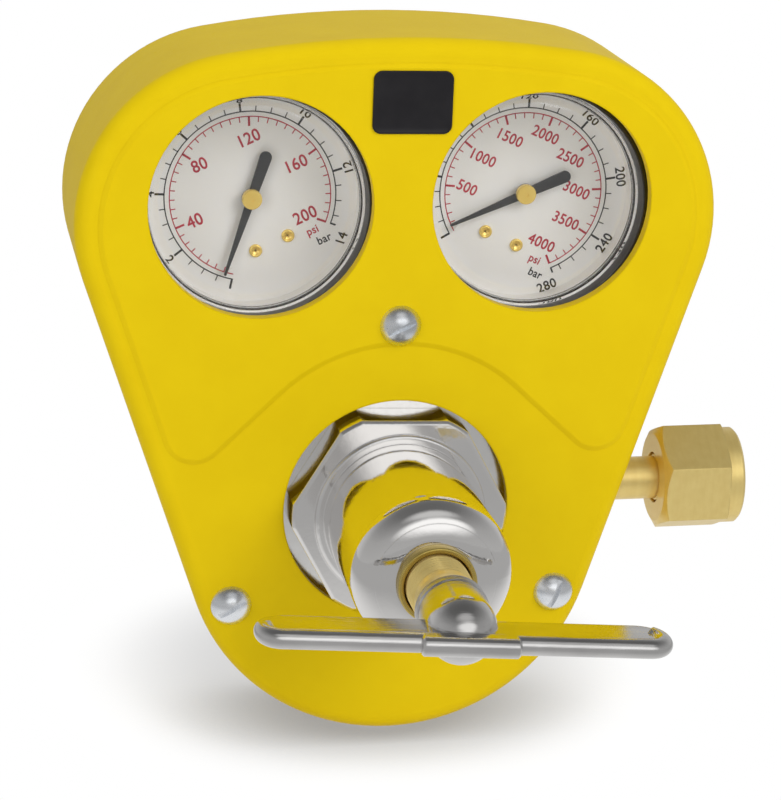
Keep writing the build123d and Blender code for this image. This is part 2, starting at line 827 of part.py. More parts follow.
def make_relief_valve():
    """Relief valve barrel with its wrench hexagon and side vents."""
    hex_end = relief_reach + relief_hex
    end = relief_reach + relief_length
    valve = rod(relief_thread_r - thread_gap, port_floor, relief_reach)
    valve += hexagon(relief_flats, relief_reach, hex_end)
    valve += rod(relief_r, hex_end, end)
    valve -= rod(relief_bore_r, port_floor, end)
    vent = Rot(90, 0, 0) * Cylinder(vent_r, 4 * relief_r)
    return valve - Pos(0, 0, end - vent_inset) * vent


def make_relief_cap():
    """Cap pressed on the end of the relief valve."""
    end = relief_reach + relief_length
    cap = rod(relief_cap_r, end, end + relief_cap_h)
    return chamfer(cap.edges().sort_by(Axis.Z)[-1], relief_cap_bevel)


def make_case():
    """Drawn steel gauge case, open at the front, with a hole for the socket's stem."""
    case = ring(case_r, case_r - case_wall, case_back + case_wall, case_front)
    case += rod(case_r, case_back, case_back + case_wall)
    case = chamfer(case.faces().sort_by(Axis.Z)[0].edges(), case_bevel)
    case = chamfer(case.faces().sort_by(Axis.Z)[-1].edges(), case_lip_bevel)
    hole = Rot(90, 0, 0) * Cylinder(stem_neck_r + 2 * case_gap, 2 * case_r,
                                    align=(Align.CENTER, Align.CENTER, Align.MIN))
    return case - Pos(0, 0, stem_plane) * hole


def make_window():
    """Clear moulded window: flat centre, bevel, flange and a skirt on the dial's rim."""
    shoulder = window_front - window_bevel_drop
    inner = window_r - dial_wall
    points = [(0, window_front), (window_flat_r, window_front), (window_flange_r, shoulder)]
    points += [(window_r - window_edge, shoulder), (window_r, shoulder - window_edge)]
    points += [(window_r, window_skirt_end), (inner, window_skirt_end), (inner, shoulder - window_skin)]
    points += [(window_flange_r - 2 * window_edge, shoulder - window_skin)]
    points += [(window_flat_r - 2 * window_edge, window_front - window_skin)]
    points += [(0, window_front - window_skin)]
    return turned(points)


def make_dial():
    """White dial pan with a rim, a centre hole, screw holes and the pointer's stop pin."""
    back = dial_face - dial_thick
    dial = rod(window_r, back, window_skirt_end) - rod(window_r - dial_wall, dial_face, window_skirt_end)
    dial -= rod(dial_hole_r, back, dial_face)
    for side in (-1, 1):
        dial -= rod(dial_screw_shank_r + running_gap, back, dial_face, side * dial_screw_x, dial_screw_y)
    clear = stop_pin_r + pointer_tip_r + stand_off
    reach = pointer_tip - stop_pin_inset
    x, y = polar(reach, pointer_rest + degrees(clear / reach))
    return dial + rod(stop_pin_r, dial_face, dial_face + pointer_lift + pointer_thick, x, y)


def make_dial_screws():
    """Two small brass screws that hold the dial to the movement."""
    screws = []
    low = dial_face - dial_thick - plate_thick
    for side in (-1, 1):
        top = dial_face + dial_screw_head
        dish = top - dial_screw_head / 2
        points = [(0, low), (dial_screw_shank_r, low), (dial_screw_shank_r, dial_face)]
        points += [(dial_screw_r, dial_face), (dial_screw_r, top), (dial_screw_socket_r, top)]
        points += [(dial_screw_dish_r, dish), (0, dish)]
        screws.append(Pos(side * dial_screw_x, dial_screw_y, 0) * turned(points))
    return Compound(children=screws)


def make_pointer():
    """Pointer with a slim tip and a wide round tail."""
    tail = Pos(0, -pointer_tail + pointer_tail_r) * Circle(pointer_tail_r)
    waist = Circle(pointer_waist_r)
    tip = Pos(0, pointer_tip - pointer_tip_r) * Circle(pointer_tip_r)
    blade = make_hull(tail.edges() + waist.edges()) + make_hull(waist.edges() + tip.edges())
    blade += Circle(pointer_hub_r)
    low = dial_face + pointer_lift
    pointer = Pos(0, 0, low) * extrude(blade, pointer_thick)
    return Rot(0, 0, pointer_rest) * (pointer - rod(arbor_r, low, low + pointer_thick))


def make_pointer_hub():
    """Turned brass hub on the pointer, with a small centre mark."""
    low = dial_face + pointer_lift + pointer_thick
    top = dial_face + pointer_hub_top
    points = [(arbor_r, low), (pointer_hub_r, low), (pointer_hub_r, top - hub_bevel)]
    points += [(pointer_hub_r - hub_bevel, top), (hub_mark_r, top), (hub_mark_r, top - hub_bevel)]
    points += [(0, top - hub_bevel), (0, top - hub_cap), (arbor_r, top - hub_cap)]
    return turned(points)


def make_arbor():
    """Pointer arbor with its pinion."""
    back = dial_face - dial_thick - 2 * plate_thick - frame_pitch
    top = dial_face + pointer_hub_top - hub_cap
    middle = dial_face - dial_thick - plate_thick - frame_pitch / 2
    return rod(arbor_r, back, top) + rod(pinion_r, middle - pinion_half, middle + pinion_half)


def make_sector():
    """Sector gear that drives the pinion, with the short tail the pressure tube pulls."""
    middle = dial_face - dial_thick - plate_thick - frame_pitch / 2
    spread = sector_swing / 2 + sector_margin
    fan = make_face([CenterArc((0, 0), sector_r, 90 - spread, 2 * spread),
                     Polyline(polar(sector_r, spread), (0, 0), polar(sector_r, -spread))])
    inner = sector_r - sector_rim
    gap = spread - sector_spoke_angle
    fan -= make_face([CenterArc((0, 0), inner, 90 - gap, 2 * gap),
                      Polyline(polar(inner, gap), polar(2 * sector_hub_r, 0), polar(inner, -gap))])
    arm_end = Pos(sector_arm_x, sector_arm_y) * Circle(sector_arm_r)
    arm = make_hull(Circle(sector_arm_root_r).edges() + arm_end.edges())
    blank = extrude(fan + Circle(sector_hub_r) + arm, sector_half, both=True)
    blank -= Cylinder(arbor_r + running_gap, 4 * sector_half)
    return Pos(0, sector_y, middle) * Rot(0, 0, -sector_swing / 2) * blank


def make_frame():
    """Movement frame: two plates, four pillars and the sector's pivot pin."""
    front_top = dial_face - dial_thick
    back_top = front_top - plate_thick - frame_pitch
    low = -frame_reach
    height = frame_top - low
    plate = RectangleRounded(2 * frame_half_width, height, frame_corner_r)
    plate = Pos(0, (frame_top + low) / 2) * plate
    front = Pos(0, 0, front_top - plate_thick) * extrude(plate, plate_thick)
    back = Pos(0, 0, back_top - plate_thick) * extrude(plate, plate_thick)
    for side in (-1, 1):
        hole_x = side * dial_screw_x
        front -= rod(dial_screw_shank_r + running_gap, front_top - plate_thick, front_top, hole_x,
                     dial_screw_y)
    frame = front + back
    for side in (-1, 1):
        x = side * (frame_half_width - pillar_inset)
        for y in (frame_top - pillar_inset, low + pillar_inset):
            frame += rod(pillar_r, back_top, front_top - plate_thick, x, y)
    frame += rod(arbor_r, back_top, front_top - plate_thick, 0, sector_y)
    return frame - rod(arbor_r + running_gap, back_top - plate_thick, front_top)


def make_bourdon():
    """Flattened pressure tube, bent round the movement from the socket to its free tip."""
    section = Pos(bourdon_r, stem_plane) * Rectangle(bourdon_thick, bourdon_width)
    tube = revolve(Plane.XZ * section, Axis.Z, bourdon_sweep)
    return Rot(0, 0, bourdon_root - bourdon_sweep - 90) * tube


def make_socket():
    """Brass socket: block inside the case, square and threaded stem outside it."""
    top = socket_lap - frame_reach
    block_low = -(case_r - case_wall - case_gap)
    plate_back = dial_face - dial_thick - 2 * plate_thick - frame_pitch
    depth = plate_back - (stem_plane - socket_depth / 2)
    foot = block_low + socket_foot
    block = Box(socket_width, top - foot, depth, align=(Align.CENTER, Align.MIN, Align.MAX))
    block = Pos(0, foot, plate_back) * block
    channel = ring(bourdon_r + bourdon_thick / 2 + press_gap, bourdon_r - bourdon_thick / 2 - press_gap,
                   stem_plane - bourdon_width / 2 - press_gap, stem_plane + bourdon_width / 2 + press_gap)
    block -= channel
    start = gauge_reach - boss_reach
    end = gauge_reach - port_floor
    stem = rod(stem_neck_r, -block_low - socket_root, start)
    stem += rod(port_r - thread_gap, start - thread_run_out, end - stem_short)
    square_low = case_r + stand_off * 3
    square = Box(wrench_square, wrench_square, start - thread_run_out - square_low,
                 align=(Align.CENTER, Align.CENTER, Align.MIN))
    stem += Pos(0, 0, square_low) * square
    return block + Pos(0, 0, stem_plane) * Rot(90, 0, 0) * stem


def set_gauge(side, shape):
    """Moves a piece drawn at the gauge's centre to the left or right gauge."""
    return Pos(side * gauge_x, gauge_y, 0) * Rot(0, 0, -side * gauge_lean) * shape


def stand_up(shape):
    """Turns panel axes into the part's own frame and moves the inlet's mouth to the origin."""
    return Pos(-nut_mouth, inlet_z, 0) * Rot(90, 0, 0) * shape


def all_pieces():
    """Every node's name and solid, in panel axes."""
    seat = Pos(0, 0, seat_plane - seat_thick) * Cylinder(
        seat_r, seat_thick, align=(Align.CENTER, Align.CENTER, Align.MIN))
    pieces = {
        "cover": make_cover(),
        "cover_screws": make_cover_screws(),
        "bracket": make_bracket(),
        "clinch_nuts": make_clinch_nuts(),
        "body": make_body(),
        "bonnet": make_bonnet(),
        "bonnet_bushing": make_bushing(),
        "adjusting_screw": make_adjusting_screw(),
        "t_handle": make_handle(),
        "spring_button": make_button(),
        "adjusting_spring": coil(spring_mean_r, spring_wire_r, spring_low, spring_high, spring_turns),
        "diaphragm_plate": make_diaphragm_plate(),
        "diaphragm": rod(neck_r - thread_gap, diaphragm_low, plate_low),
        "slip_ring": ring(neck_r - thread_gap, slip_ring_r, plate_low, shoulder_z),
        "push_pin": make_push_pin(),
        "valve_nozzle": make_nozzle(),
        "valve_seat": seat,
        "valve_poppet": make_poppet(),
        "valve_spring": coil(valve_spring_r, valve_spring_wire_r, cap_seat, poppet_end,
                             valve_spring_turns),
        "back_cap": make_back_cap(),
        "back_cap_washer": ring(cap_flange_r - washer_inset, cap_thread_r + washer_gap,
                                body_back - washer_thick, body_back),
        "inlet_nipple": spoke(make_nipple(), inlet_angle, inlet_z),
        "inlet_filter": spoke(make_filter(), inlet_angle, inlet_z),
        "inlet_nut": spoke(make_inlet_nut(), inlet_angle, inlet_z),
        "outlet_fitting": spoke(make_outlet(), outlet_angle, outlet_z),
        "relief_valve": spoke(make_relief_valve(), relief_angle, relief_z),
        "relief_cap": spoke(make_relief_cap(), relief_angle, relief_z),
    }
    gauge = {
        "case": make_case(),
        "window": make_window(),
        "dial": make_dial(),
        "dial_screws": make_dial_screws(),
        "pointer": make_pointer(),
        "pointer_hub": make_pointer_hub(),
        "pinion_arbor": make_arbor(),
        "sector_gear": make_sector(),
        "movement_frame": make_frame(),
        "bourdon_tube": make_bourdon(),
        "socket": make_socket(),
    }
    for side, word in ((-1, "left"), (1, "right")):
        for name, shape in gauge.items():
            pieces[f"{word}_{name}"] = set_gauge(side, shape)
    return pieces


os.makedirs("parts", exist_ok=True)
for name, shape in all_pieces().items():
    export_step(stand_up(shape), f"parts/{name}.step")
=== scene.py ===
import math
from functools import cache

import bmesh
import bpy
import numpy as np
from bpy.props import FloatProperty, FloatVectorProperty, PointerProperty
from mathutils import Matrix, Vector


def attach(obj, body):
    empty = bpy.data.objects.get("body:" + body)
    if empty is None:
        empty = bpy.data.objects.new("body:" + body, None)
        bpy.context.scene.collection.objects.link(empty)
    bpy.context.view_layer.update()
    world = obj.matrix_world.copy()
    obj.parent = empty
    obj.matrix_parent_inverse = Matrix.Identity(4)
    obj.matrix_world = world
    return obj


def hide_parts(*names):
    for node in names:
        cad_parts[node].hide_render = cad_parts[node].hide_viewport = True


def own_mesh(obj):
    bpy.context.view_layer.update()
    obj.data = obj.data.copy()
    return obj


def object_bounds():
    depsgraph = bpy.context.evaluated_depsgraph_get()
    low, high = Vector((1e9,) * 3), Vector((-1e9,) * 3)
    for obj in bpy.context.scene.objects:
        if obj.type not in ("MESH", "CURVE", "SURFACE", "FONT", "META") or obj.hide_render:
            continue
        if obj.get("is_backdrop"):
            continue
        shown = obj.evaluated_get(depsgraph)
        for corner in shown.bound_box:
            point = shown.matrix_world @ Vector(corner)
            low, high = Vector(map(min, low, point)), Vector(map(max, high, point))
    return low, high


bl_info = {
    "name": "Oxygen Regulator",
    "version": (1, 0, 0),
    "blender": (4, 5, 0),
    "location": "View3D > Sidebar > Regulator",
    "description": "Finishes, threads, dial print, springs and studio for the two-gauge regulator",
    "category": "Object",
}

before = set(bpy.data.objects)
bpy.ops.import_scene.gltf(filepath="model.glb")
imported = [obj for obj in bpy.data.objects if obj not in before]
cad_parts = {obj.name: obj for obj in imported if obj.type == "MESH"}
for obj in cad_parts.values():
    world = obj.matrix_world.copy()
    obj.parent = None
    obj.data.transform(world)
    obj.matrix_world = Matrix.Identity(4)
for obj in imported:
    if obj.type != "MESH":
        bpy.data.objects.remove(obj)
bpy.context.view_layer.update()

# The part's own drawing axes: x right, y up, z out of the cover towards the user, in millimetres,
# with zero on the bonnet's axis at the cover's face
MM = 0.001
NUT_MOUTH = 106.7
INLET_Z = -20.0
OUTLET_Z = -26.0
RELIEF_Z = -16.0
GAUGE_X = 39.8
GAUGE_Y = 87.5
DIAL_FACE = -24.0
SIDES = {"left": -1, "right": 1}

FULL = 2 * math.pi
HALF = math.pi
QUARTER = math.pi / 2


# Places on the part


def row(points):
    """Drawing axes in millimetres to the frame's axes in metres: (x - mouth, inlet z - z, y)."""
    p = np.asarray(points, float)
    return np.stack([p[..., 0] - NUT_MOUTH, INLET_Z - p[..., 2], p[..., 1]], -1) * MM


def on_gauge(points, side):
    """Points drawn round a gauge's own centre: leaned outwards along the line to the bonnet's
    axis, then moved to that gauge."""
    p = np.asarray(points, float)
    lean = -SIDES[side] * math.atan2(GAUGE_X, GAUGE_Y)
    c, s = math.cos(lean), math.sin(lean)
    x = p[..., 0] * c - p[..., 1] * s + SIDES[side] * GAUGE_X
    y = p[..., 0] * s + p[..., 1] * c + GAUGE_Y
    return np.stack([x, y, p[..., 2]], -1)


def on_spoke(points, angle, height):
    """Points drawn along z laid onto a radius, angle degrees round from the top: the drawing's z
    becomes the radius and its y runs down the bonnet's axis."""
    p = np.asarray(points, float)
    a = math.radians(angle)
    x, y, z = p[..., 0], p[..., 2], -p[..., 1]
    return np.stack([x * math.cos(a) - y * math.sin(a), x * math.sin(a) + y * math.cos(a), z + height], -1)


# Shared mesh shapes

SHARP_ANGLE = math.radians(35)
MERGE_DISTANCE = 1e-7
SLIVER_LENGTH = 1e-8


def grid_faces(rows, columns, wrap_rows=False, wrap_columns=True):
    """Quads between neighbouring points of a grid, as corner numbers."""
    r = np.arange(rows if wrap_rows else rows - 1)[:, None]
    c = np.arange(columns if wrap_columns else columns - 1)[None, :]
    up, on = (r + 1) % rows, (c + 1) % columns
    corners = [r * columns + c, r * columns + on, up * columns + on, up * columns + c]
    return np.stack(corners, -1).reshape(-1, 4)


def tube_faces(rows, columns):
    """Quads of a tube, with one face across each of its ends."""
    ends = [list(range(columns)), list(range((rows - 1) * columns, rows * columns))]
    return grid_faces(rows, columns).tolist() + ends


def join(parts):
    """One set of points and faces from several."""
    points, faces, start = [], [], 0
    for p, f in parts:
        p = np.asarray(p, float).reshape(-1, 3)
        points.append(p)
        faces.extend([corner + start for corner in face] for face in f)
        start += len(p)
    return np.concatenate(points), faces


def piece(name, parts, body, material):
    """Closed mesh at the origin from sets of points and faces in the frame's metres: doubles
    merged, faces turned outwards, edges sharper than the sharp angle kept sharp."""
    points, faces = join(parts)
    mesh = bpy.data.meshes.new(name)
    mesh.from_pydata(points.tolist(), [], faces)
    work = bmesh.new()
    work.from_mesh(mesh)
    bmesh.ops.remove_doubles(work, verts=work.verts, dist=MERGE_DISTANCE)
    bmesh.ops.dissolve_degenerate(work, edges=work.edges, dist=SLIVER_LENGTH)
    bmesh.ops.recalc_face_normals(work, faces=work.faces)
    work.to_mesh(mesh)
    work.free()
    mesh.shade_smooth()
    mesh.set_sharp_from_angle(angle=SHARP_ANGLE)
    made = bpy.data.objects.new(name, mesh)
    bpy.context.scene.collection.objects.link(made)
    made.data.materials.append(material)
    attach(made, body)
    return made


def turned(profile, segments, cut=None, wrap=False):
    """Surface of revolution about z: a point of the profile (radius, height) goes round a circle.
    cut(radius, height, angle) may change the radius, for a thread or a hexagon."""
    r, z = np.asarray(profile, float).T[:, :, None]
    a = np.linspace(0, FULL, segments, endpoint=False)[None, :]
    r = np.broadcast_to(r, (r.shape[0], segments))
    if cut:
        r = cut(r, z, a)
    grid = np.stack([r * np.cos(a), r * np.sin(a), np.broadcast_to(z, r.shape)], -1)
    return grid, grid_faces(grid.shape[0], segments, wrap_rows=wrap)


def thread(z, a, pitch, low, high, fade_low, fade_high):
    """Height of a thread, 1 on its flat crest and 0 in its root: a triangle wave of (height /
    pitch - angle / full turn), stretched, cut off at both ends, and fading out at the low and the
    high end of the threaded length."""
    stretch, lowered = 1.3, 0.15
    turns = z / pitch - a / FULL
    flank = np.clip(np.abs(2 * (turns % 1) - 1) * stretch - lowered, 0, 1)
    return flank * np.clip((z - low) / fade_low, 0, 1) * np.clip((high - z) / fade_high, 0, 1)


def bead(radius, height, start, length):
    """Profile of a half-round bead on a cylinder: radius + height sin(angle) along a half turn,
    with its back a little inside the wall."""
    steps, sunk = 13, 0.2
    a = np.linspace(0, HALF, steps)
    rise = np.column_stack([radius + height * np.sin(a), start + length * (1 - np.cos(a)) / 2])
    return np.vstack([rise, [(radius - sunk, start + length), (radius - sunk, start)]])


def helix_tube(radius, wire, low, high, turns, ring=12, steps=40):
    """Coil spring: a circle of the wire's radius carried along a helix whose rise eases in and
    out, so that the end coils close up; cut flat at both ends, as if ground."""
    dead, ground, eased = 0.7 / turns, wire * 0.6, wire * 1.5
    t = np.linspace(0, 1, int(turns * steps) + 1)
    a = FULL * turns * t
    rise = (high - low - 2 * (ground + eased)) * np.clip((t - dead) / (1 - 2 * dead), 0, 1)
    z = low + ground + eased * np.clip(t / dead, 0, 1) + rise
    z = z + (high - ground - z[-1]) * np.clip((t - 1 + dead) / dead, 0, 1)
    b = np.linspace(0, FULL, ring, endpoint=False)[None, :]
    r = radius + wire * np.cos(b)
    height = np.clip(z[:, None] + wire * np.sin(b), low, high)
    grid = np.stack([r * np.cos(a)[:, None], r * np.sin(a)[:, None], height], -1)
    return grid, tube_faces(len(t), ring)


# Materials and finishes


class Net:
    """Places nodes in one tree and links them."""

    def __init__(self, tree):
        self.tree = tree
        tree.nodes.clear()

    def node(self, kind, feeds=None, **settings):
        made = self.tree.nodes.new(kind)
        for name, value in settings.items():
            setattr(made, name, value)
        for key, value in (feeds or {}).items():
            self.feed(made.inputs[key], value)
        return made

    def feed(self, socket, value):
        if isinstance(value, bpy.types.NodeSocket):
            self.tree.links.new(value, socket)
        else:
            socket.default_value = value

    def group(self, tree, feeds):
        return self.node("ShaderNodeGroup", feeds, node_tree=tree).outputs

    def place(self):
        return self.node("ShaderNodeTexCoord").outputs["Object"]

    def vector(self, operation, a, b):
        return self.node("ShaderNodeVectorMath", {0: a, 1: b}, operation=operation).outputs[0]

    def scaled(self, vector, factor):
        return self.node("ShaderNodeVectorMath", {0: vector, "Scale": factor}, operation="SCALE").outputs[0]

    def in_units(self, vector, size):
        return self.scaled(vector, self.math("DIVIDE", 1.0, size))

    def distance(self, vector, start=(0, 0, 0)):
        return self.node("ShaderNodeVectorMath", {0: vector, 1: start}, operation="DISTANCE").outputs["Value"]

    def round_axis(self, vector):
        """Distance from the z axis, and height along it."""
        apart = self.node("ShaderNodeSeparateXYZ", {0: vector}).outputs
        flat = self.node("ShaderNodeCombineXYZ", {0: apart[0], 1: apart[1]}).outputs[0]
        return self.distance(flat), apart[2]

    def math(self, operation, a, b=0.0):
        return self.node("ShaderNodeMath", {0: a, 1: b}, operation=operation).outputs[0]

    def spread(self, value, low, high, out_low=0.0, out_high=1.0):
        feeds = {0: value, 1: low, 2: high, 3: out_low, 4: out_high}
        return self.node("ShaderNodeMapRange", feeds, interpolation_type="SMOOTHSTEP").outputs[0]

    def mix(self, mask, a, b):
        return self.node("ShaderNodeMix", {0: mask, 6: a, 7: b}, data_type="RGBA").outputs[2]

    def noise(self, vector, scale=1.0, detail=2.0, rough=0.5):
        feeds = {"Vector": vector, "Scale": scale, "Detail": detail, "Roughness": rough}
        return self.node("ShaderNodeTexNoise", feeds).outputs["Fac"]

    def relief(self, height, depth, facing=None):
        """Normal bent by a height, over the normal it is given."""
        feeds = {"Height": height, "Distance": depth, "Strength": 1.0}
        if facing is not None:
            feeds["Normal"] = facing
        return self.node("ShaderNodeBump", feeds).outputs[0]

    def rays(self, *kinds):
        """1 for a ray of any of the kinds."""
        path = self.node("ShaderNodeLightPath").outputs
        mask, *others = [path["Is " + kind + " Ray"] for kind in kinds]
        for other in others:
            mask = self.math("MAXIMUM", mask, other)
        return mask

    def glow(self, level):
        return self.node("ShaderNodeEmission", {0: (1, 1, 1, 1), 1: level}).outputs[0]

    def blend(self, mask, a, b):
        return self.node("ShaderNodeMixShader", {0: mask, 1: a, 2: b}).outputs[0]


def effect(name, inputs, outputs, fill):
    """Shader node group, built once. fill(net, sockets) returns what each output shows."""
    tree = bpy.data.node_groups.get(name)
    if tree:
        return tree
    tree = bpy.data.node_groups.new(name, "ShaderNodeTree")
    for label, value in inputs:
        kind = "NodeSocketVector" if value is None else "NodeSocketFloat"
        socket = tree.interface.new_socket(label, in_out="INPUT", socket_type=kind)
        if value is not None:
            socket.default_value = value
    for label in outputs:
        tree.interface.new_socket(label, in_out="OUTPUT", socket_type="NodeSocketFloat")
    net = Net(tree)
    entry = tree.nodes.new("NodeGroupInput")
    leave = tree.nodes.new("NodeGroupOutput")
    for socket, value in zip(leave.inputs, fill(net, entry.outputs)):
        net.feed(socket, value)
    return tree


def grain_effect():
    """Fine grain, a coarse drift of the same surface, and sparse light scuffs."""

    def fill(net, sockets):
        unit = net.in_units(sockets["Vector"], sockets["Size"])
        fine = net.noise(unit, detail=3.0, rough=0.6)
        coarse = net.noise(unit, scale=0.06, detail=3.0, rough=0.55)
        scuffs = net.spread(net.noise(unit, scale=0.25, detail=6.0, rough=0.75), low=0.6, high=0.75)
        return fine, coarse, scuffs

    return effect("Surface Grain", [("Vector", None), ("Size", 0.001)], ["Fine", "Coarse", "Scuffs"], fill)


def turning_effect():
    """Fine lines round the z axis, as a lathe leaves them: noise over radius and height only."""

    def fill(net, sockets):
        radius, height = net.round_axis(sockets["Vector"])
        along = net.node("ShaderNodeCombineXYZ", {0: radius, 2: height}).outputs[0]
        unit = net.in_units(along, sockets["Pitch"])
        return net.noise(unit, rough=0.6), net.noise(unit, scale=0.12)

    return effect("Turning Marks", [("Vector", None), ("Pitch", 0.0002)], ["Lines", "Bands"], fill)


def brush_effect():
    """Long streaks along x: noise stretched forty times that way."""

    def fill(net, sockets):
        unit = net.in_units(sockets["Vector"], sockets["Width"])
        stretched = net.vector("MULTIPLY", unit, (1 / 40, 1.0, 1.0))
        return net.noise(stretched, detail=3.0, rough=0.6), net.noise(stretched, scale=0.15)

    return effect("Brushed Streaks", [("Vector", None), ("Width", 0.0003)], ["Streaks", "Drift"], fill)


def crown_effect():
    """Height of a crowned ring face about the z axis: level inside the inner radius, falling
    ever more steeply to the outer one, and level beyond it and away from the face."""

    def fill(net, sockets):
        power, reach = 1.6, 0.0003
        radius, height = net.round_axis(sockets["Vector"])
        width = net.math("SUBTRACT", sockets["Outer"], sockets["Inner"])
        beyond = net.math("MAXIMUM", net.math("SUBTRACT", radius, sockets["Inner"]), 0.0)
        share = net.math("DIVIDE", net.math("MINIMUM", beyond, width), width)
        fall = net.math("MULTIPLY", net.math("POWER", share, power), sockets["Fall"])
        gap = net.math("ABSOLUTE", net.math("SUBTRACT", net.math("ABSOLUTE", height), sockets["Face"]))
        on_face = net.math("LESS_THAN", gap, reach)
        kept = net.math("MULTIPLY", on_face, net.math("SUBTRACT", sockets["Fall"], fall))
        return [net.math("MULTIPLY", net.math("SUBTRACT", sockets["Fall"], kept), -1.0)]

    inputs = [("Vector", None), ("Inner", 0.0106), ("Outer", 0.0167), ("Face", 0.06), ("Fall", 0.0014)]
    return effect("Crowned Face", inputs, ["Height"], fill)


def new_material(name):
    """Material, and the builder of its tree."""
    material = bpy.data.materials.new(name)
    material.use_nodes = True
    return material, Net(material.node_tree)


def surface(name, light, dark, rough, metallic=0.0, size=0.001, bump=0.0, marks="grain", centre=(0, 0, 0),
            turn=(0, 0, 0), shift=1.0, edge=0.0, crown=False, plain=None):
    """Material whose colour, roughness and relief all follow the same marks: grain, turning or
    brushing, of the given size and depth, about the axis at centre. light and dark are the colours
    that it drifts between, faster with more shift, rough the two roughnesses, edge the radius that
    sharp edges are rounded to, and plain what the shader takes as it is."""
    material, net = new_material(name)
    axis = net.node("ShaderNodeMapping", {"Vector": net.place(), "Location": centre, "Rotation": turn},
                    vector_type="TEXTURE").outputs[0]
    grain = net.group(grain_effect(), {"Vector": axis, "Size": size})
    fine, drift = grain["Fine"], grain["Coarse"]
    if marks != "grain":
        tree, label = (turning_effect(), "Pitch") if marks == "turned" else (brush_effect(), "Width")
        lines = net.group(tree, {"Vector": axis, label: size})
        fine = lines[0]
        drift = net.math("MULTIPLY", net.math("ADD", drift, lines[1]), 0.5)
    half = 0.25 / shift
    colour = net.mix(net.spread(drift, 0.5 - half, 0.5 + half), (*dark, 1), (*light, 1))
    scuffed = net.math("MULTIPLY", grain["Scuffs"], 0.4)
    polish = net.math("ADD", net.math("MULTIPLY", fine, 0.6), scuffed)
    facing = net.node("ShaderNodeBevel", {"Radius": edge}, samples=4).outputs[0] if edge else None
    if crown:
        facing = net.relief(net.group(crown_effect(), {"Vector": axis})[0], 1.0, facing)
    shader = net.node("ShaderNodeBsdfPrincipled", {
        "Base Color": colour,
        "Metallic": metallic,
        "Roughness": net.spread(polish, 0.15, 0.65, rough[0], rough[1]),
        "Normal": net.relief(fine, bump, facing),
        **(plain or {}),
    })
    net.node("ShaderNodeOutputMaterial", {0: shader.outputs[0]})
    return material


def clear_plastic(name, tint):
    """Clear moulded plastic that lets the lamps through to the dial, with faint haze and scuffs."""
    material, net = new_material(name)
    grain = net.group(grain_effect(), {"Vector": net.place(), "Size": 0.0006})
    shader = net.node("ShaderNodeBsdfPrincipled", {
        "Base Color": (*tint, 1),
        "Roughness": net.spread(grain["Scuffs"], 0.0, 1.0, out_low=0.0, out_high=0.05),
        "Transmission Weight": 1.0,
        "IOR": 1.49,
        "Normal": net.relief(grain["Coarse"], 0.00002),
    })
    clear = net.node("ShaderNodeBsdfTransparent", {0: (0.99, 0.99, 0.99, 1)})
    both = net.blend(net.rays("Shadow", "Diffuse"), shader.outputs[0], clear.outputs[0])
    net.node("ShaderNodeOutputMaterial", {0: both})
    return material


FRONT_AXIS = {"centre": tuple(row((0, 0, 0))), "turn": (QUARTER, 0, 0)}
INLET_AXIS = {"centre": (0, 0, 0), "turn": (0, QUARTER, 0)}
OUTLET_AXIS = {"centre": tuple(row((0, 0, OUTLET_Z)))}
RELIEF_AXIS = {"centre": tuple(row((0, 0, RELIEF_Z))), "turn": (0, QUARTER, 0)}
TURNED = {"bump": 0.000004, "marks": "turned"}
BRASS = {"light": "brass", "dark": (0.93, 0.9, 0.84), "size": 0.00018, **TURNED}

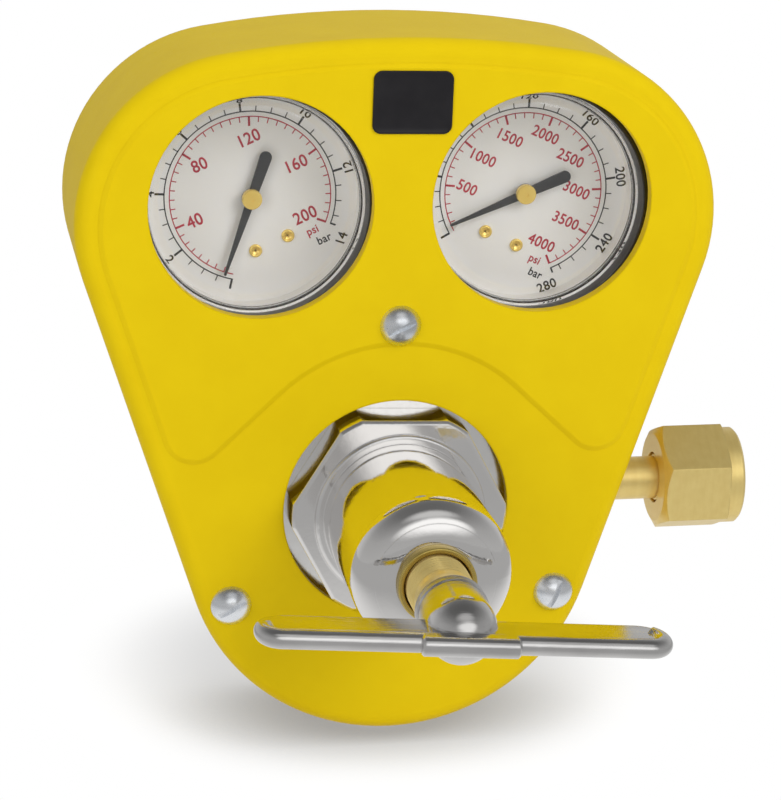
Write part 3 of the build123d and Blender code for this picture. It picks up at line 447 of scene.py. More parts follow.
# What surface takes for each finish. A light colour that is a word is the user's own of that
# name, and the dark one is then a share of it.
FINISHES = {
    "cover_paint": dict(
        name="Yellow powder coat", light="paint", dark=(0.97, 0.955, 0.9), rough=(0.38, 0.46), size=0.0009,
        bump=0.000012, edge=0.0008, plain={"Specular IOR Level": 0.05}),
    "zinc_screw": dict(
        name="Zinc plate", light=(0.88, 0.9, 0.93), dark=(0.7, 0.73, 0.77), rough=(0.22, 0.4), metallic=1.0,
        size=0.0006, bump=0.00001, shift=2.0),
    "plated_steel": dict(
        name="Bright plated steel", light=(0.93, 0.92, 0.9), dark=(0.84, 0.83, 0.81), rough=(0.12, 0.24),
        metallic=1.0, size=0.0008, bump=0.000004, edge=0.0003),
    "forged_brass": dict(
        name="Forged brass", light=(0.68, 0.5, 0.24), dark=(0.5, 0.34, 0.14), rough=(0.34, 0.52), metallic=1.0,
        size=0.0007, bump=0.00005, shift=1.6),
    "chrome_plate": dict(
        name="Polished chrome", light=(0.86, 0.845, 0.83), dark=(0.8, 0.785, 0.77), rough=(0.04, 0.1),
        metallic=1.0, size=0.003, bump=0.00002, edge=0.0006, crown=True, **FRONT_AXIS),
    "satin_chrome": dict(
        name="Satin chrome", light=(0.74, 0.73, 0.72), dark=(0.6, 0.59, 0.58), rough=(0.09, 0.19), metallic=1.0,
        size=0.0008, bump=0.00003, shift=1.4, marks="brushed", edge=0.0006),
    "spring_steel": dict(
        name="Spring steel", light=(0.4, 0.4, 0.42), dark=(0.25, 0.24, 0.24), rough=(0.28, 0.42), metallic=1.0,
        size=0.0005, bump=0.00001),
    "rubber": dict(
        name="Black rubber", light=(0.035, 0.035, 0.037), dark=(0.02, 0.02, 0.021), rough=(0.6, 0.8),
        size=0.0004, bump=0.00002),
    "slip_plastic": dict(
        name="White slip plastic", light=(0.8, 0.79, 0.75), dark=(0.7, 0.69, 0.64), rough=(0.35, 0.5),
        size=0.0008, bump=0.000006),
    "seat_plastic": dict(
        name="Amber seat plastic", light=(0.5, 0.3, 0.12), dark=(0.4, 0.22, 0.08), rough=(0.3, 0.45),
        size=0.0006, bump=0.000006),
    "sintered_bronze": dict(
        name="Sintered bronze", light=(0.6, 0.38, 0.2), dark=(0.3, 0.17, 0.08), rough=(0.45, 0.7), metallic=1.0,
        size=0.00025, bump=0.00012, shift=2.0),
    "case_steel": dict(
        name="Black gauge case", light=(0.03, 0.028, 0.027), dark=(0.018, 0.017, 0.017), rough=(0.28, 0.4),
        size=0.0008, bump=0.00001, plain={"Coat Weight": 0.3, "Coat Roughness": 0.2}),
    "dial_white": dict(
        name="White dial enamel", light=(0.95, 0.945, 0.94), dark=(0.92, 0.915, 0.91), rough=(0.38, 0.46),
        size=0.0009, bump=0.000003),
    "pointer_black": dict(
        name="Satin black pointer", light=(0.04, 0.04, 0.042), dark=(0.028, 0.028, 0.03), rough=(0.34, 0.46),
        size=0.0004, bump=0.000004),
    "badge_black": dict(
        name="Badge black", light=(0.016, 0.015, 0.017), dark=(0.011, 0.01, 0.012), rough=(0.3, 0.38),
        size=0.0005, bump=0.000004, plain={"Specular IOR Level": 0.3}),
    "red_ink": dict(
        name="Red dial ink", light="red_ink", dark=0.85, rough=(0.4, 0.5), size=0.0005, bump=0.000002),
    "black_ink": dict(
        name="Black dial ink", light=(0.02, 0.02, 0.022), dark=(0.014, 0.014, 0.015), rough=(0.4, 0.5),
        size=0.0005, bump=0.000002),
    "brass_front": dict(name="Turned brass, front", rough=(0.27, 0.4), metallic=0.65, **BRASS, **FRONT_AXIS),
    "brass_inlet": dict(
        name="Turned brass, inlet", rough=(0.3, 0.44), metallic=0.65, edge=0.0005, **BRASS, **INLET_AXIS),
    "brass_outlet": dict(name="Turned brass, outlet", rough=(0.27, 0.4), metallic=1.0, **BRASS, **OUTLET_AXIS),
    "brass_relief": dict(name="Turned brass, relief", rough=(0.27, 0.4), metallic=1.0, **BRASS, **RELIEF_AXIS),
    "brass_bushing": dict(
        name="Dull turned brass", light=(0.62, 0.47, 0.13), dark=(0.5, 0.37, 0.09), rough=(0.24, 0.36),
        metallic=0.8, size=0.0003, **TURNED, **FRONT_AXIS),
    **{"brass_" + side: dict(
        name="Gilt brass, " + side + " gauge", light=(1.0, 0.74, 0.2), dark=(0.92, 0.64, 0.13), rough=(0.2, 0.32),
        metallic=0.4, size=0.00025, centre=tuple(row((sign * GAUGE_X, GAUGE_Y, 0))), turn=(QUARTER, 0, 0),
        **TURNED) for side, sign in SIDES.items()},
    "clear_window": dict(name="Clear window", tint=(0.985, 0.988, 0.985)),
}


def finish(key):
    """Material for one finish of the part, built when it is first asked for."""
    look = dict(FINISHES[key])
    made = bpy.data.materials.get(look["name"])
    if made:
        return made
    if key == "clear_window":
        return clear_plastic(**look)
    if isinstance(look["light"], str):
        light = np.array(getattr(bpy.context.scene.regulator_finish, look["light"]))
        look["light"], look["dark"] = tuple(light), tuple(light * look["dark"])
    return surface(**look)


def dress(finishes):
    """Gives CAD nodes their materials."""
    for node, key in finishes.items():
        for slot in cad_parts[node].material_slots:
            slot.material = finish(key)


# Settings


class RegulatorFinish(bpy.types.PropertyGroup):
    """Colours that a user may change."""

    paint: FloatVectorProperty(
        name="Cover paint", description="Powder coat on the die-cast cover", subtype="COLOR", size=3,
        default=(0.83, 0.6, 0.005), min=0, max=1)
    brass: FloatVectorProperty(
        name="Brass", description="Turned brass of the nut, nipple and adjusting screw", subtype="COLOR", size=3,
        default=(0.93, 0.73, 0.28), min=0, max=1)
    red_ink: FloatVectorProperty(
        name="Red ink", description="Inner scale of each dial", subtype="COLOR", size=3,
        default=(0.55, 0.02, 0.05), min=0, max=1)
    floor: FloatVectorProperty(
        name="Floor", description="Studio floor", subtype="COLOR", size=3, default=(0.9, 0.9, 0.9), min=0, max=1)


class RegulatorSizes(bpy.types.PropertyGroup):
    """Sizes that a user may change, in Blender's own length unit, and the key lamp's power."""

    screw_pitch: FloatProperty(
        name="Screw pitch", description="Advance of the adjusting screw's thread in one turn", unit="LENGTH",
        default=0.0015, min=0.0005, max=0.003)
    screw_depth: FloatProperty(
        name="Screw thread depth", description="Crest to root of the adjusting screw's thread", unit="LENGTH",
        default=0.0006, min=0.0001, max=0.001)
    nut_pitch: FloatProperty(
        name="Nut pitch", description="Thread in the inlet nut, fourteen to the inch", unit="LENGTH",
        default=0.0254 / 14, min=0.001, max=0.003)
    outlet_pitch: FloatProperty(
        name="Outlet pitch", description="Thread on the outlet, eighteen to the inch", unit="LENGTH",
        default=0.0254 / 18, min=0.001, max=0.003)
    badge_width: FloatProperty(
        name="Badge width", description="Bare plate between the gauges", unit="LENGTH", default=0.0224,
        min=0.01, max=0.03)
    badge_height: FloatProperty(
        name="Badge height", description="Bare plate between the gauges", unit="LENGTH", default=0.0176,
        min=0.01, max=0.02)
    lamp: FloatProperty(
        name="Key lamp", description="Power of the large lamp at the front right", subtype="POWER",
        default=7.9, min=0.0, max=100.0)


# Pieces


class REGULATOR_OT_shell(bpy.types.Operator):
    """Paint the cover, plate its screws and brackets, and set the bare badge plate on it"""

    bl_idname = "regulator.shell"
    bl_label = "Cover and badge plate"

    def execute(self, context):
        dress({"cover": "cover_paint", "cover_screws": "zinc_screw", "clinch_nuts": "zinc_screw",
               "bracket": "plated_steel"})
        badge_plate(context.scene.regulator_sizes)
        return {"FINISHED"}


def badge_plate(sizes):
    """Rounded rectangle, upright in the photograph: each corner is a quarter circle, and the
    outline is drawn in along a rounded edge towards a flat, slightly sunk field."""
    centre, lean, corner, corner_steps = (1.95, 118.8), math.radians(-0.9), 2.4, 10
    half = np.array([sizes.badge_width, sizes.badge_height]) / MM / 2
    quarter, step = np.divmod(np.arange(4 * corner_steps), corner_steps)
    a = step / (corner_steps - 1) * QUARTER + quarter * QUARTER
    middle = (quarter + 0.5) * QUARTER
    signs = np.sign(np.stack([np.cos(middle), np.sin(middle)], -1))
    # How far the outline is drawn in, and its height, from the back to the field
    edge = np.array([(0.0, 0.62), (0.0, 1.15), (0.08, 1.28), (0.2, 1.35), (0.55, 1.35), (0.7, 1.27), (2.3, 1.27)])
    inset, height = edge.T[:, :, None]
    ring = signs * (half - corner) + (corner - inset)[..., None] * np.stack([np.cos(a), np.sin(a)], -1)
    x = ring[..., 0] * math.cos(lean) - ring[..., 1] * math.sin(lean) + centre[0]
    y = ring[..., 0] * math.sin(lean) + ring[..., 1] * math.cos(lean) + centre[1]
    grid = np.stack([x, y, np.broadcast_to(height, x.shape)], -1)
    piece("badge_plate", [(row(grid), tube_faces(len(edge), len(a)))], "regulator", finish("badge_black"))


class REGULATOR_OT_control(bpy.types.Operator):
    """Chrome the bonnet and the T-handle, and cut the thread on the adjusting screw"""

    bl_idname = "regulator.control"
    bl_label = "Bonnet, handle and screw"

    def execute(self, context):
        dress({"bonnet": "chrome_plate", "t_handle": "satin_chrome"})
        adjusting_screw(context.scene.regulator_sizes)
        bushing()
        return {"FINISHED"}


def bushing():
    """Turned brass bushing with its inner flange, and a lip that stands out of the bonnet's nose
    round the screw; the lip's outer and inner edges are quarter rounds."""
    bore, barrel, flange, lip, mouth = 9.03, 10.58, 13.4, 10.8, 9.3
    low, shoulder, step, counterbore, face, top = 46.6, 49.55, 58.7, 59.0, 60.03, 63.2
    outer_round, inner_round = 0.5, 0.35
    a = np.linspace(0, QUARTER, 6)
    outside = np.column_stack([lip + outer_round * (np.cos(a) - 1), top + outer_round * (np.sin(a) - 1)])
    inside = np.column_stack([mouth + inner_round * (1 - np.sin(a)), top + inner_round * (np.cos(a) - 1)])
    profile = np.vstack([[(bore, low), (flange, low), (flange, shoulder), (barrel, shoulder), (barrel, face),
                          (lip, face)], outside, inside, [(mouth, counterbore), (bore, step)]])
    grid, faces = turned(profile, 96, wrap=True)
    made = piece("bonnet_bushing_lip", [(row(grid), faces)], "regulator", finish("brass_bushing"))
    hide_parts("bonnet_bushing")


def adjusting_screw(sizes):
    """Turned brass screw whose radius is cut by a thread: radius - depth (1 - thread). A rounded
    groove and a plain band follow it up to the handle."""
    radius, low, collar, tail_radius, tail = 8.8, 45.05, 80.0, 6.5, 90.0
    pitch, depth = sizes.screw_pitch / MM, sizes.screw_depth / MM
    chamfer, sunk = 1.2, 0.25
    start, stop = low + chamfer, collar - 7.4
    height = np.arange(start, stop, pitch / 8)
    crest = np.column_stack([np.full(len(height), radius), height])
    height = np.linspace(stop + 0.3, collar - 3.2, 9)
    along = (height - height[0]) / (height[-1] - height[0])
    groove = np.column_stack([radius - depth - sunk * np.sin(along * HALF), height])
    band = np.array([(-0.25, -2.7), (-0.1, -2.3), (-0.1, -0.5), (-0.4, 0.0)]) + (radius, collar)
    profile = np.vstack([[(0, low), (radius - chamfer, low)], crest, groove, band,
                         [(tail_radius, collar), (tail_radius, tail), (0, tail)]])

    def cut(r, z, a):
        threaded = (z > start) & (z < stop) & (r > tail_radius)
        ridge = thread(z, a, pitch, start, stop, fade_low=1.5, fade_high=0.8)
        return np.where(threaded, r - depth * (1 - ridge), r)

    grid, faces = turned(profile, 96, cut)
    made = piece("adjusting_screw_threaded", [(row(grid), faces)], "handle", finish("brass_front"))
    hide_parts("adjusting_screw")


class REGULATOR_OT_body(bpy.types.Operator):
    """Finish the forged body, the valve, the back cap and the relief valve"""

    bl_idname = "regulator.body"
    bl_label = "Body and valve"

    def execute(self, context):
        dress({
            "body": "forged_brass", "back_cap": "brass_front", "back_cap_washer": "slip_plastic",
            "valve_nozzle": "brass_front", "valve_poppet": "brass_front", "valve_seat": "seat_plastic",
            "push_pin": "plated_steel", "diaphragm_plate": "brass_front", "slip_ring": "slip_plastic",
            "spring_button": "plated_steel", "relief_valve": "brass_relief", "relief_cap": "brass_relief",
        })
        return {"FINISHED"}


class REGULATOR_OT_ports(bpy.types.Operator):
    """Turn the inlet nut and nipple and the outlet fitting, and cut their threads"""

    bl_idname = "regulator.ports"
    bl_label = "Inlet nut and outlet"

    def execute(self, context):
        dress({"inlet_nut": "brass_inlet", "inlet_nipple": "brass_inlet", "inlet_filter": "sintered_bronze"})
        nipple_bead()
        nut_thread(context.scene.regulator_sizes)
        outlet_fitting(context.scene.regulator_sizes)
        return {"FINISHED"}


def nipple_bead():
    """Half-round bead on the nipple where it enters the nut."""
    grid, faces = turned(bead(radius=6.3, height=1.05, start=82.2, length=3.0), 72, wrap=True)
    piece("nipple_bead", [(row(on_spoke(grid, -90, INLET_Z)), faces)], "regulator", finish("brass_inlet"))


def nut_thread(sizes):
    """Lining of the nut's bore: inner radius = bore - depth times thread; its back lies inside
    the nut's wall."""
    bore, back, low, high = 11.45, 11.75, 86.5, 106.0
    pitch = sizes.nut_pitch / MM
    depth, near = 0.58 * pitch, 0.01
    height = np.arange(low, high, pitch / 8)
    profile = np.vstack([np.column_stack([np.full(len(height), bore), height]), [(back, high), (back, low)]])

    def cut(r, z, a):
        ridge = thread(z, a, pitch, low, high, fade_low=1.0, fade_high=1.6)
        return np.where(r < bore + near, r - depth * ridge, r)

    grid, faces = turned(profile, 96, cut, wrap=True)
    piece("inlet_nut_thread", [(row(on_spoke(grid, -90, INLET_Z)), faces)], "nut", finish("brass_inlet"))


def outlet_fitting(sizes):
    """Hose connection: a turned profile whose radius is cut back by a hexagon's flats, at half
    the width over flats / cos(angle from the flat's middle), and by a thread towards the end, with
    a bore and a coned seat inside."""
    pitch = sizes.outlet_pitch / MM
    depth, near = 0.6 * pitch, 1e-6
    radius, bore, shank, seat, corners, flats = 7.14, 3.2, 6.5, 5.2, 12.0, 17.5
    low, start, hex_end, thread_low, end = 30.5, 40.0, 49.0, 62.5, 73.5
    root = radius - depth
    height = np.arange(thread_low, end - 0.9, pitch / 8)
    profile = np.vstack([
        [(bore, low), (shank, low), (shank, start)],
        [(flats / 2, start), (flats / 2 + 0.9, start + 0.6), (corners, start + 2.2), (corners, hex_end - 0.3),
         (corners - 0.4, hex_end)],
        [(root, hex_end), (root, thread_low - 0.6)],
        np.column_stack([np.full(len(height), radius), height]),
        [(root, end - 0.1), (root - 0.1, end), (seat, end), (bore, end - 2.0)]])

    def cut(r, z, a):
        sixth = FULL / 6
        flat = flats / 2 / np.cos((a + sixth / 2) % sixth - sixth / 2)
        threaded = (np.abs(r - radius) < near) & (z >= thread_low)
        ridge = thread(z, a, pitch, thread_low, end, fade_low=1.4, fade_high=1.2)
        return np.minimum(np.where(threaded, r - depth * (1 - ridge), r), flat)

    grid, faces = turned(profile, 96, cut, wrap=True)
    made = piece("outlet_fitting_threaded", [(row(on_spoke(grid, 180, OUTLET_Z)), faces)], "regulator",
                 finish("brass_outlet"))
    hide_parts("outlet_fitting")


class REGULATOR_OT_springs(bpy.types.Operator):
    """Wind the two springs and mould the diaphragm"""

    bl_idname = "regulator.springs"
    bl_label = "Springs and diaphragm"

    def execute(self, context):
        low, high, travel = 5.2, 40.3, 12.0
        grid, faces = helix_tube(13.4, 1.8, low, high, turns=6.0)
        made = piece("adjusting_spring_coil", [(row(grid), faces)], "regulator", finish("spring_steel"))
        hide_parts("adjusting_spring")
        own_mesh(made)
        low, high, travel = -33.5, -19.0, 0.8
        grid, faces = helix_tube(4.3, 0.45, low, high, turns=5.0, ring=8, steps=32)
        made = piece("valve_spring_coil", [(row(grid), faces)], "regulator", finish("spring_steel"))
        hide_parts("valve_spring")
        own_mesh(made)
        diaphragm()
        return {"FINISHED"}


def diaphragm():
    """Disc with one shallow rolled ring between its clamped rim and its centre: a turned profile
    whose upper side dips by a half wave there."""
    low, high, rim, roll_start, roll_end, dip = 1.2, 2.4, 24.35, 17.6, 19.4, 0.25
    r = np.linspace(roll_end, roll_start, 9)
    upper = np.column_stack([r, high - dip * np.sin((r - roll_start) / (roll_end - roll_start) * HALF)])
    profile = np.vstack([[(0, low), (rim, low), (rim, high)], upper, [(0, high)]])
    grid, faces = turned(profile, 72)
    made = piece("diaphragm_disc", [(row(grid), faces)], "regulator", finish("rubber"))
    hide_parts("diaphragm")
    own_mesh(made)


class REGULATOR_OT_gauges(bpy.types.Operator):
    """Finish both gauges and print their dials"""

    bl_idname = "regulator.gauges"
    bl_label = "Gauges and dial print"

    def execute(self, context):
        for side in SIDES:
            metal = "brass_" + side
            keys = {"case": "case_steel", "window": "clear_window", "dial": "dial_white", "dial_screws": metal,
                    "pointer": "pointer_black", "pointer_hub": metal, "pinion_arbor": metal, "sector_gear": metal,
                    "movement_frame": metal, "bourdon_tube": metal, "socket": metal}
            dress({side + "_" + node: key for node, key in keys.items()})
            window_shell(side)
            case_bead(side)
            dial_eyelets(side)
        print_dial("left", psi=(200, 40, 5), psi_height=3.65, bar=(14, 2, 0.5))
        print_dial("right", psi=(4000, 500, 100), psi_height=3.25, bar=(280, 40, 10))
        return {"FINISHED"}


def window_shell(side):
    """Moulded window of even wall: flat front, a quarter-ellipse shoulder
    z = front - drop (1 - sqrt(1 - ((r - flat) / (rim - flat))^2)) and a skirt."""
    hair, flat, rim, inner_rim = 0.02, 25.0, 31.45, 30.25
    front, inner_front, foot = -10.65, -11.85, -16.0
    a = np.linspace(QUARTER, 0, 15)

    def shoulder(end, top, drop):
        return np.column_stack([flat + (end - flat) * np.cos(a), top - drop * (1 - np.sin(a))])

    outside = shoulder(rim, front, drop=2.65)
    inside = shoulder(inner_rim, inner_front, drop=1.95)[::-1]
    profile = np.vstack([[(hair, front)], outside, [(rim, foot), (inner_rim, foot)], inside, [(hair, inner_front)]])
    grid, faces = turned(profile, 128, wrap=True)
    made = piece(side + "_window_shell", [(row(on_gauge(grid, side)), faces)], "regulator", finish("clear_window"))
    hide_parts(side + "_window")


def case_bead(side):
    """Half-round rolled bead round the mouth of the case."""
    grid, faces = turned(bead(radius=32.75, height=1.15, start=-9.7, length=-2.4), 128, wrap=True)
    piece(side + "_case_bead", [(row(on_gauge(grid, side)), faces)], "regulator", finish("case_steel"))


def dial_eyelets(side):
    """Two round heads that hold the dial, each a half-round rim about a dished socket with a
    bore. Heights are over the dial's face."""
    reach, below, foot = 5.1, 15.05, -0.3
    radius, half_width, base, height = 1.45, 0.42, 0.45, 0.4
    a = np.linspace(0, HALF, 9)
    rim = np.column_stack([radius + half_width * np.cos(a), base + height * np.sin(a)])
    socket = [(0.75, 0.3), (0.42, 0.22), (0.4, -0.25), (0.3, foot)]
    profile = np.vstack([[(radius + half_width, foot)], rim, socket]) + (0, DIAL_FACE)
    grid, faces = turned(profile, 40, wrap=True)
    heads = [(row(on_gauge(grid + (x, -below, 0), side)), faces) for x in (-reach, reach)]
    made = piece(side + "_dial_eyelets", heads, "regulator", finish("brass_" + side))
    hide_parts(side + "_dial_screws")


# Dial print: ink a little over the dial's face, with angles clockwise from the top

INK_LOW = DIAL_FACE - 0.02
INK_HIGH = DIAL_FACE + 0.05
SCALE_START = -143.5
SCALE_END = 134.0
BAR_IN_PSI = 14.5038
CAPITAL = 0.729


def scale_angle(share):
    """Angle on the dial of a share of the full scale."""
    return np.radians(SCALE_END + (SCALE_END - SCALE_START) * (np.asarray(share, float) - 1))


def polar(radius, angle):
    """Point of the dial at a radius and an angle."""
    return radius * math.sin(angle), radius * math.cos(angle)


def slab(corners):
    """Closed slabs of ink from flat four-cornered outlines, as (n, 4, 2) drawn round the gauge."""
    n = len(corners)
    low = np.concatenate([corners, np.full((n, 4, 1), INK_LOW)], -1)
    high = np.concatenate([corners, np.full((n, 4, 1), INK_HIGH)], -1)
    points = np.concatenate([low, high], 1).reshape(-1, 3)
    box = np.array([(0, 1, 2, 3), (7, 6, 5, 4), (0, 4, 5, 1), (1, 5, 6, 2), (2, 6, 7, 3), (3, 7, 4, 0)])
    faces = (np.arange(n)[:, None, None] * 8 + box[None]).reshape(-1, 4)
    return points, faces


def ticks(angles, inner, outer, width):
    """Radial strokes: each runs from the inner to the outer radius at its angle."""
    a = np.asarray(angles, float)[:, None]
    out = np.stack([np.sin(a), np.cos(a)], -1)
    across = np.stack([np.cos(a), -np.sin(a)], -1) * width / 2
    low, high = out * inner, out * outer
    return slab(np.concatenate([low - across, low + across, high + across, high - across], 1))


def arc(start, stop, radius, width, steps=160):
    """Ring segment between two angles, as one closed bar bent round the centre."""
    a = np.linspace(start, stop, steps)[:, None]
    r = radius + np.array([-width / 2, width / 2, width / 2, -width / 2])[None, :]
    z = np.broadcast_to(np.array([INK_LOW, INK_LOW, INK_HIGH, INK_HIGH])[None, :], (steps, 4))
    return np.stack([r * np.sin(a), r * np.cos(a), z], -1), tube_faces(steps, 4)


@cache
def letters(text):
    """Points and faces of a line of letters about its own centre, with capitals one unit high.
    A four is thickened by copies set apart, each a hair higher, so that its opening stays clear."""
    bold, wider = 0.016, 1.1
    curve = bpy.data.curves.new("letters", "FONT")
    curve.body = text
    curve.size = 1.0
    curve.extrude = 0.5
    curve.offset = 0.0 if "4" in text else bold
    curve.space_character = 1.05
    curve.resolution_u = 5
    holder = bpy.data.objects.new("letters", curve)
    bpy.context.scene.collection.objects.link(holder)
    bpy.context.view_layer.update()
    mesh = bpy.data.meshes.new_from_object(holder.evaluated_get(bpy.context.evaluated_depsgraph_get()))
    points = np.zeros(len(mesh.vertices) * 3)
    mesh.vertices.foreach_get("co", points)
    points = points.reshape(-1, 3)
    faces = [list(p.vertices) for p in mesh.polygons]
    bpy.data.objects.remove(holder)
    bpy.data.curves.remove(curve)
    bpy.data.meshes.remove(mesh)
    points[:, 0] -= (points[:, 0].min() + points[:, 0].max()) / 2
    points[:, 0] *= wider
    if "4" in text:
        apart = np.array([(-1, -1, 0), (1, -1, 0.8), (1, 1, 1.6), (-1, 1, 2.4)]) * bold
        faces = [[copy * len(points) + corner for corner in face] for copy in range(4) for face in faces]
        points = (points[None] + apart[:, None]).reshape(-1, 3)
    return points, faces


def word(text, height, at, turn=0.0):
    """Letters of a given height set round a point of the dial and turned clockwise."""
    narrower, lifted = 0.82, 0.3
    points, faces = letters(text)
    scale = height / CAPITAL
    x = points[:, 0] * scale * narrower
    y = points[:, 1] * scale - height / 2
    c, s = math.cos(turn), math.sin(turn)
    z = np.where(points[:, 2] > 0, INK_HIGH + (points[:, 2] - 0.5) * lifted, INK_LOW)
    return np.stack([x * c + y * s + at[0], y * c - x * s + at[1], z], -1), faces


def print_dial(side, psi, psi_height, bar):
    """Red pounds-per-square-inch scale inside, black bar scale outside, both over the same sweep.
    psi and bar are each scale's last value and its long and short divisions."""
    inner, outer, fine, bold = 23.1, 24.6, 0.3, 0.62
    start, stop = scale_angle(0.0), scale_angle(1.0)
    top, major, minor = psi
    share = BAR_IN_PSI / top
    values = np.arange(0, top + minor / 2, minor)
    long = values % major == 0
    red = [arc(start, stop, inner, fine),
           ticks(scale_angle(values[~long] / top), inner - 1.5, inner, fine),
           ticks(scale_angle(values[long & (values > 0)] / top), inner - 2.7, inner + 0.15, bold)]
    for value in range(major, top + 1, major):
        angle = float(scale_angle(value / top))
        # Longer numbers stand further in where they lie along the radius
        spare = abs(math.sin(angle)) * psi_height * (0.33 * len(str(value)) - 0.5) * 0.86
        red.append(word(str(value), psi_height, polar(inner - 3.5 - psi_height / 2 - spare, angle)))
    top, major, minor = bar
    values = np.arange(0, top + minor / 2, minor)
    values = values[values * share <= 1.0]
    long = np.isclose(values % major, 0) | np.isclose(values % major, major)
    black = [arc(start, stop, outer, 0.34),
             ticks(scale_angle(values[~long] * share), outer, outer + 1.7, fine),
             ticks(scale_angle(values[long] * share), outer - 0.13, outer + 2.9, bold),
             ticks(scale_angle(np.array([1.0])), outer - 0.13, outer + 1.6, 0.5)]
    bar_radius, bar_height, last_past = 29.3, 3.1, 0.1
    for value in range(major, top + 1, major):
        angle = float(scale_angle(min(value * share, 1.0)))
        turn = angle if abs(angle) < QUARTER else angle - HALF
        black.append(word(str(value), bar_height, polar(bar_radius, angle + last_past * (value == top)), turn))
    unit_height = 2.5
    red.append(word("psi", unit_height, polar(20.5, float(stop) + 0.17)))
    black.append(word("bar", unit_height, polar(24.8, float(stop) + 0.19)))
    for name, parts in (("red", red), ("black", black)):
        placed = [(row(on_gauge(p, side)), f) for p, f in parts]
        piece(side + "_scale_" + name, placed, "regulator", finish(name + "_ink"))


# Studio


class REGULATOR_OT_studio(bpy.types.Operator):
    """Lay the pale floor, hang the soft lamps and set the camera at the photograph's angle"""

    bl_idname = "regulator.studio"
    bl_label = "Studio"

    def execute(self, context):
        floor(context.scene.regulator_finish)
        lamps(context.scene.regulator_sizes)
        camera(context.scene)
        context.scene.view_settings.view_transform = "Standard"
        return {"FINISHED"}


def floor(look):
    """Wide sheet of floor under the lowest point. Rays from the camera and through glass see it
    lifted to white, with a painted shadow where the part stands close over it and round a point
    under it, and metal sees a painted pool of light under the part that falls off to grey."""
    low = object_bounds()[0].z
    reach, count, gap = 8, 9, 0.0002
    x, y = np.meshgrid(np.linspace(-reach, reach, count), np.linspace(-reach, reach, count))
    points = np.stack([x, y, np.full_like(x, low - gap)], -1).reshape(-1, 3)
    mesh = bpy.data.meshes.new("floor")
    mesh.from_pydata(points.tolist(), [], grid_faces(count, count, wrap_columns=False).tolist())
    sheet = bpy.data.objects.new("floor", mesh)
    bpy.context.scene.collection.objects.link(sheet)
    material, net = new_material("Pale floor with painted shadow")
    away = net.distance(net.place(), (-0.103, 0.045, low))
    matt = net.node("ShaderNodeBsdfDiffuse", {0: (*look.floor, 1)}).outputs[0]
    shade = net.node("ShaderNodeMixShader", {0: 0.2, 2: matt}).outputs[0]
    # Painted shadow: the floor's glow dims where the part is close above it and towards a point under it
    painted_shade_closeness = net.node("ShaderNodeAmbientOcclusion", {"Distance": 0.04}, samples=16).outputs["AO"]
    under = net.spread(painted_shade_closeness, 0.0, 1.0, out_low=0.45, out_high=1.0)
    level = net.math("MULTIPLY", under, net.spread(away, 0.04, 0.1, out_low=0.6, out_high=0.92))
    near = net.node("ShaderNodeAddShader", {0: shade, 1: net.glow(level)}).outputs[0]
    seen = net.blend(net.spread(away, 0.07, 0.108), near, net.glow(1.0))
    # Painted pool of light that metal mirrors, pale under the part and greyer further off
    mirrored = net.glow(net.spread(away, 0.1, 0.3, out_low=0.78, out_high=0.42))
    seen = net.blend(net.rays("Glossy"), seen, mirrored)
    shader = net.blend(net.rays("Camera", "Glossy", "Transmission"), matt, seen)
    net.node("ShaderNodeOutputMaterial", {0: shader})
    mesh.materials.append(material)
    sheet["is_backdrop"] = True


# How light the mirrored room is, from straight below at 0 to straight above at 1
ROOM_LEVELS = ((0.0, 0.5), (0.5, 0.46), (0.68, 0.4), (0.85, 0.24), (0.93, 0.16), (1.0, 0.14))
# Mirrored panels: way to the middle, where the edge starts and ends to fade, and how light it is
PANELS = (((0.12, -0.55, 0.83), 0.1, 0.34, 0.62), ((0.2, -0.88, 0.42), 0.15, 0.38, 1.15))
# Lamps: name, place, size, and share of the key lamp's power
LAMPS = (("key lamp", (0.55, -0.95, 0.75), 0.8, 1.0), ("fill lamp", (-0.95, -0.8, 0.35), 0.8, 0.4),
         ("top lamp", (-0.1, 0.25, 1.2), 0.7, 0.25))


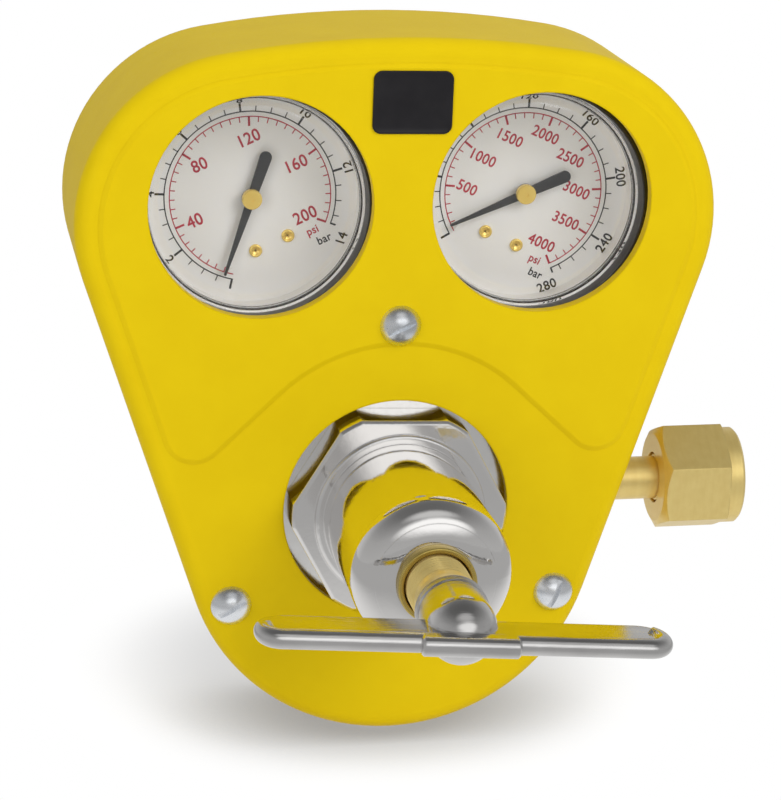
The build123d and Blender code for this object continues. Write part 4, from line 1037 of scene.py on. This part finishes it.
def lamps(sizes):
    """White room, with a large soft key lamp at the front right, a weaker one at the front left
    and one overhead. What metal mirrors is a studio: grey round the camera, dark overhead and
    paler behind, with a broad white panel in front and a fainter one above it."""
    world = bpy.data.worlds.new("Studio")
    bpy.context.scene.world = world
    world.use_nodes = True
    net = Net(world.node_tree)
    way = net.node("ShaderNodeTexCoord").outputs["Generated"]
    apart = net.node("ShaderNodeSeparateXYZ", {0: way}).outputs
    rise = net.node("ShaderNodeMath", {0: apart[2], 1: 0.5, 2: 0.5}, operation="MULTIPLY_ADD").outputs[0]
    height = net.node("ShaderNodeValToRGB", {0: rise})
    stops = height.color_ramp.elements
    for at, _ in ROOM_LEVELS[1:-1]:
        stops.new(at)
    for stop, (_, level) in zip(stops, ROOM_LEVELS):
        stop.color = (level, level, level, 1)
    room = net.scaled(height.outputs[0], net.spread(apart[1], 0.1, 0.7, out_low=1.0, out_high=1.3))
    for centre, inner, outer, level in PANELS:
        offset = net.vector("MULTIPLY", net.vector("SUBTRACT", way, centre), (0.5, 1.0, 1.0))
        panel = net.spread(net.distance(offset), inner, outer, out_low=1.0, out_high=0.0)
        room = net.mix(panel, room, (level, level, level, 1))

    def sky(colour, strength):
        return net.node("ShaderNodeBackground", {0: colour, 1: strength}).outputs[0]

    white = (1, 1, 1, 1)
    lit = net.blend(net.rays("Glossy", "Transmission"), sky(white, 0.42), sky(room, 1.0))
    net.node("ShaderNodeOutputWorld", {0: net.blend(net.rays("Camera"), lit, sky(white, 1.0))})
    target = Vector((-0.1, 0.0, 0.04))
    for name, place, size, share in LAMPS:
        light = bpy.data.lights.new(name, "AREA")
        light.shape = "SQUARE"
        light.size = size
        light.energy = sizes.lamp * share
        lamp = bpy.data.objects.new(name, light)
        lamp.location = place
        lamp.rotation_euler = (target - Vector(place)).to_track_quat("-Z", "Y").to_euler()
        lamp.visible_glossy = False
        bpy.context.scene.collection.objects.link(lamp)


def camera(scene):
    """Camera of the photograph: turned 10.6 degrees to the left of the cover's face, raised 17
    degrees and rolled 1.3, for a frame of 781 by 800 pixels."""
    yaw, pitch, roll = (math.radians(a) for a in (-10.603, 16.95, 1.32))
    towards = Vector((math.sin(yaw) * math.cos(pitch), math.sin(pitch), math.cos(yaw) * math.cos(pitch)))
    level = Vector((0, 1, 0)).cross(towards).normalized()
    up = towards.cross(level)
    across = math.cos(roll) * level + math.sin(roll) * up
    upward = -math.sin(roll) * level + math.cos(roll) * up
    axes = [Vector((v.x, -v.z, v.y)) for v in (across, upward, towards)]
    data = bpy.data.cameras.new("photo camera")
    data.sensor_width = 36.0
    data.lens = 124.79
    data.clip_start, data.clip_end = 0.05, 50.0
    view = bpy.data.objects.new("photo camera", data)
    place = Matrix(axes).transposed().to_4x4()
    place.translation = (-0.247908, -0.761933, 0.263007)
    view.matrix_world = place
    scene.collection.objects.link(view)
    scene.camera = view


# Sidebar panel


STEPS = (REGULATOR_OT_shell, REGULATOR_OT_control, REGULATOR_OT_body, REGULATOR_OT_ports, REGULATOR_OT_springs,
         REGULATOR_OT_gauges, REGULATOR_OT_studio)


class REGULATOR_PT_panel(bpy.types.Panel):
    """Settings and steps of the regulator"""

    bl_idname = "REGULATOR_PT_panel"
    bl_label = "Oxygen regulator"
    bl_space_type = "VIEW_3D"
    bl_region_type = "UI"
    bl_category = "Regulator"

    def draw(self, context):
        for group in (context.scene.regulator_finish, context.scene.regulator_sizes):
            box = self.layout.box()
            for name in group.__annotations__:
                box.prop(group, name)
        for step in STEPS:
            self.layout.operator(step.bl_idname)


CLASSES = (RegulatorFinish, RegulatorSizes, *STEPS, REGULATOR_PT_panel)


def register():
    for cls in CLASSES:
        bpy.utils.register_class(cls)
    bpy.types.Scene.regulator_finish = PointerProperty(type=RegulatorFinish)
    bpy.types.Scene.regulator_sizes = PointerProperty(type=RegulatorSizes)


def unregister():
    del bpy.types.Scene.regulator_finish
    del bpy.types.Scene.regulator_sizes
    for cls in reversed(CLASSES):
        bpy.utils.unregister_class(cls)


def main():
    register()
    for step in STEPS:
        group, name = step.bl_idname.split(".")
        getattr(getattr(bpy.ops, group), name)()


if __name__ == "__main__":
    main()
